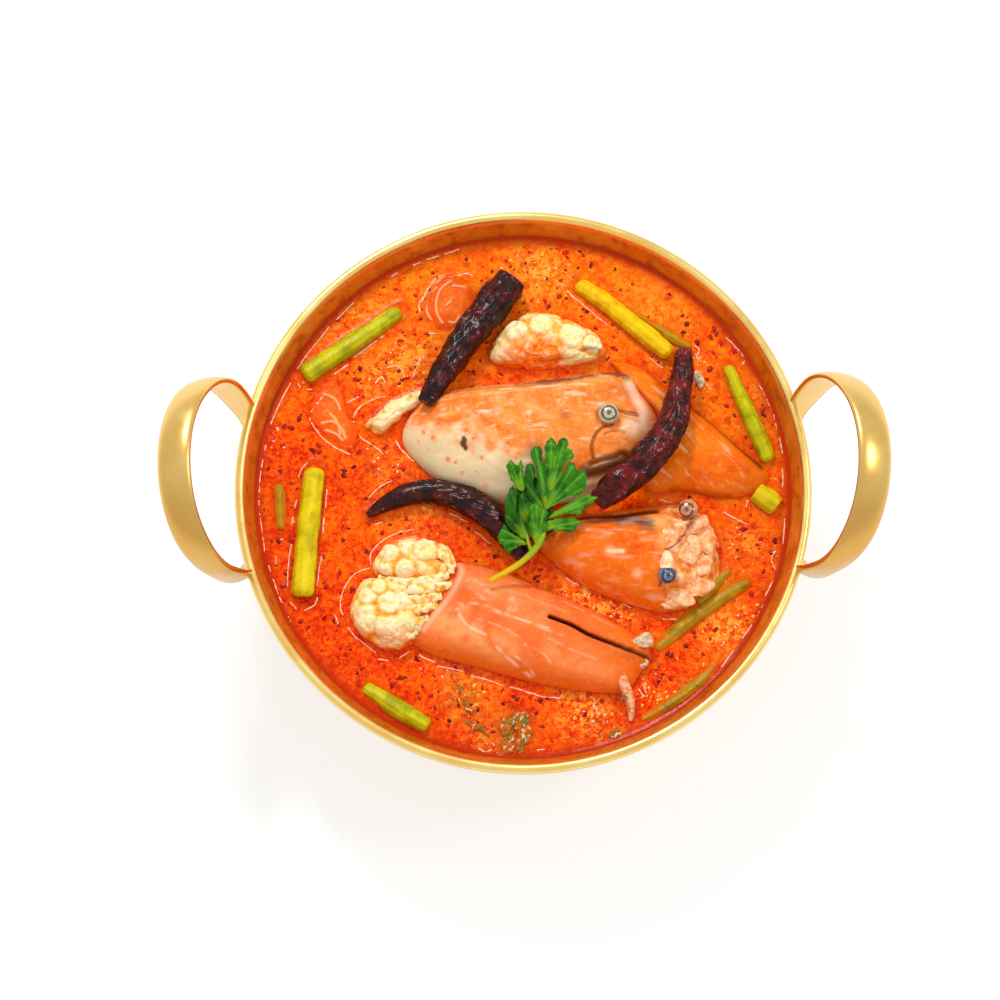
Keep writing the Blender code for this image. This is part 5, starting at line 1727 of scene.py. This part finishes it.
def build_spices():
    black = chili_finish("dried chili, black", srgb(26, 4, 6), srgb(82, 14, 9))
    maroon = chili_finish("dried chili, maroon", srgb(34, 3, 4), srgb(112, 13, 8))
    make_chili("dried_chili_upper", 31, black, 1.0, 0.12, 0.05, 0.6)
    make_chili("dried_chili_left", 32, black, 0.8, 0.42)
    make_chili("dried_chili_right", 33, maroon, 0.95)
    make_calyx(maroon)
    green = stem_finish("green stem", srgb(158, 158, 8), srgb(206, 198, 18), srgb(120, 116, 4))
    golden = stem_finish("yellow stem", srgb(196, 172, 6), srgb(232, 208, 20), srgb(146, 126, 2))
    bright = stem_finish("bright stem", srgb(222, 160, 2), srgb(246, 202, 10), srgb(164, 120, 2))
    olive = stem_finish("stem in broth", srgb(150, 112, 8), srgb(184, 142, 14), srgb(110, 76, 4))
    kinds = {"upper_left": green, "left": golden, "far_left": olive, "upper_right": bright, "right": green,
             "short_right": golden, "lower_left": green}
    for number, (node, skin) in enumerate(kinds.items()):
        make_stem("green_stem_" + node, 40 + number, skin)
    for number, node in enumerate(["sunk_stem_right", "sunk_stem_fork", "sunk_stem_front", "sunk_stem_back"]):
        make_stem(node, 50 + number, olive, sunk=True)
    make_coriander(leaf_finish())
    pale = film_finish("mushroom in broth", srgb(244, 112, 26), srgb(254, 186, 128), srgb(196, 120, 62))
    make_mushroom(
        "mushroom_upper", 0.7,
        [
            [(-30.1, 75.0), (-33.0, 71.2), (-33.6, 66.6), (-31.8, 62.5)],
            [(-25.0, 77.2), (-28.6, 74.2), (-30.1, 69.6), (-29.8, 65.1), (-28.0, 61.7)],
            [(-21.8, 63.9), (-23.6, 61.6), (-25.4, 62.0)], [(-26.5, 68.1), (-25.0, 69.6)],
            [(-20, 75), (-24, 75.4)],
        ],
        130, pale
    )
    make_mushroom(
        "mushroom_left", 0.55,
        [
            [(-70.5, 25.3), (-66.2, 25.7), (-63.3, 22.7), (-62.2, 19.7)],
            [(-67.6, 28.6), (-65.1, 25.6), (-64.0, 21.2)], [(-69.0, 22.7), (-65.4, 21.2), (-63.2, 19.0)],
            [(-70, 36), (-66, 34), (-64, 30)],
        ],
        131, pale
    )
    make_herbs(film_finish("limp herb", srgb(132, 112, 40), srgb(240, 226, 186), srgb(84, 78, 30)))


def build_scatter():
    # the foam colour is real foam on the bubbles, and on the bright lines partly painted highlight on the
    # meniscus
    foam = plain_finish("foam", srgb(255, 214, 186), srgb(255, 176, 128), 2.0, 0.2, 0.3)
    make_foam_and_highlight_lines(foam)
    dark = plain_finish("chili flake", srgb(138, 16, 0), srgb(96, 8, 0), 1.6)
    make_scattered("chili_flakes", 430, (0.2, 0.95), 5, dark, -0.02, 0.28, 0.75)
    red = plain_finish("red oil", srgb(190, 26, 0), srgb(158, 14, 0), 2.0)
    make_scattered("oil_drops", 320, (0.3, 1.2), 6, red, -0.04, 0.2, 0.6)
    make_scattered(
        "foam_bubbles", 170, (0.2, 0.55), 7, foam, 0.05, 0.7, 0.1,
        [(24, -38, 5), (33, -42, 4), (-5, -88, 6), (22, -79, 4), (71, -48, 6), (76, -20, 5), (40, -70, 3),
         (-38, 47, 7), (-50, 12, 4), (6, 82, 6), (60, 46, 4), (-30, -60, 5), (88, -24, 2), (-88, 20, 2)],
    )
    crumb = plain_finish("yellow crumb", srgb(253, 190, 84), srgb(250, 160, 40), 1.4)
    make_scattered(
        "yellow_crumbs", 150, (0.25, 0.8), 8, crumb, 0.0, 0.4, 0.4,
        [(24, -38, 5), (32, -41, 5), (20, -78, 5), (70, -50, 5), (62, -66, 5), (-45, 45, 7), (8, 82, 6),
         (-18, -74, 4), (-36, -9, 5), (44, -74, 4)],
    )


brass = brass_finish("satin brass")
make_pot(brass)
make_handles(brass)
make_broth(broth_finish())
build_prawns()
build_spices()
build_scatter()

# ---------------------------------------------------------------- scene: floor, light and camera


def make_floor():
    bpy.ops.mesh.primitive_plane_add(size=6)
    floor = bpy.context.object
    floor.name = "floor"
    paint = Finish("floor", roughness=0.9, Specular_IOR_Level=0.0)
    paint.colour((0.5, 0.5, 0.5, 1.0))
    paint.shader.inputs["Emission Color"].default_value = (1, 1, 1, 1)
    paint.shader.inputs["Emission Strength"].default_value = 0.56
    floor.data.materials.append(paint.material)


def make_light(name, place, target, size, power, colour=(1, 1, 1)):
    data = bpy.data.lights.new(name, "AREA")
    data.shape = "RECTANGLE"
    data.size, data.size_y = size
    data.energy = power
    data.color = colour
    lamp = bpy.data.objects.new(name, data)
    lamp.location = place
    lamp.rotation_euler = (Vector(target) - Vector(place)).to_track_quat("-Z", "Y").to_euler()
    bpy.context.scene.collection.objects.link(lamp)


def make_camera():
    elevation, azimuth, distance = radians(76.9), radians(-0.5), 0.9
    target = Vector((-0.0081, -0.0053, 0.062))
    back = Vector((sin(azimuth) * cos(elevation), -cos(azimuth) * cos(elevation), sin(elevation)))
    data = bpy.data.cameras.new("camera")
    data.lens = 93.8
    data.sensor_width = 36
    data.clip_start = 0.01
    camera = bpy.data.objects.new("camera", data)
    camera.location = target + back * distance
    camera.rotation_euler = (-back).to_track_quat("-Z", "Y").to_euler()
    bpy.context.scene.collection.objects.link(camera)
    bpy.context.scene.camera = camera


def make_world():
    world = bpy.data.worlds.new("studio")
    world.use_nodes = True
    background = world.node_tree.nodes["Background"]
    background.inputs["Color"].default_value = (1.0, 1.0, 1.0, 1.0)
    background.inputs["Strength"].default_value = 0.78
    bpy.context.scene.world = world
    bpy.context.scene.view_settings.view_transform = "Standard"


for mesh in BALLS.values():
    bpy.data.meshes.remove(mesh)

make_floor()
make_light("key", (-0.2, 0.6, 0.75), (0, 0, 0.05), (0.15, 0.15), 4.2)
make_light("fill", (0.6, 0.1, 0.8), (0, 0, 0.05), (0.2, 0.2), 1.5)
make_camera()
make_world()
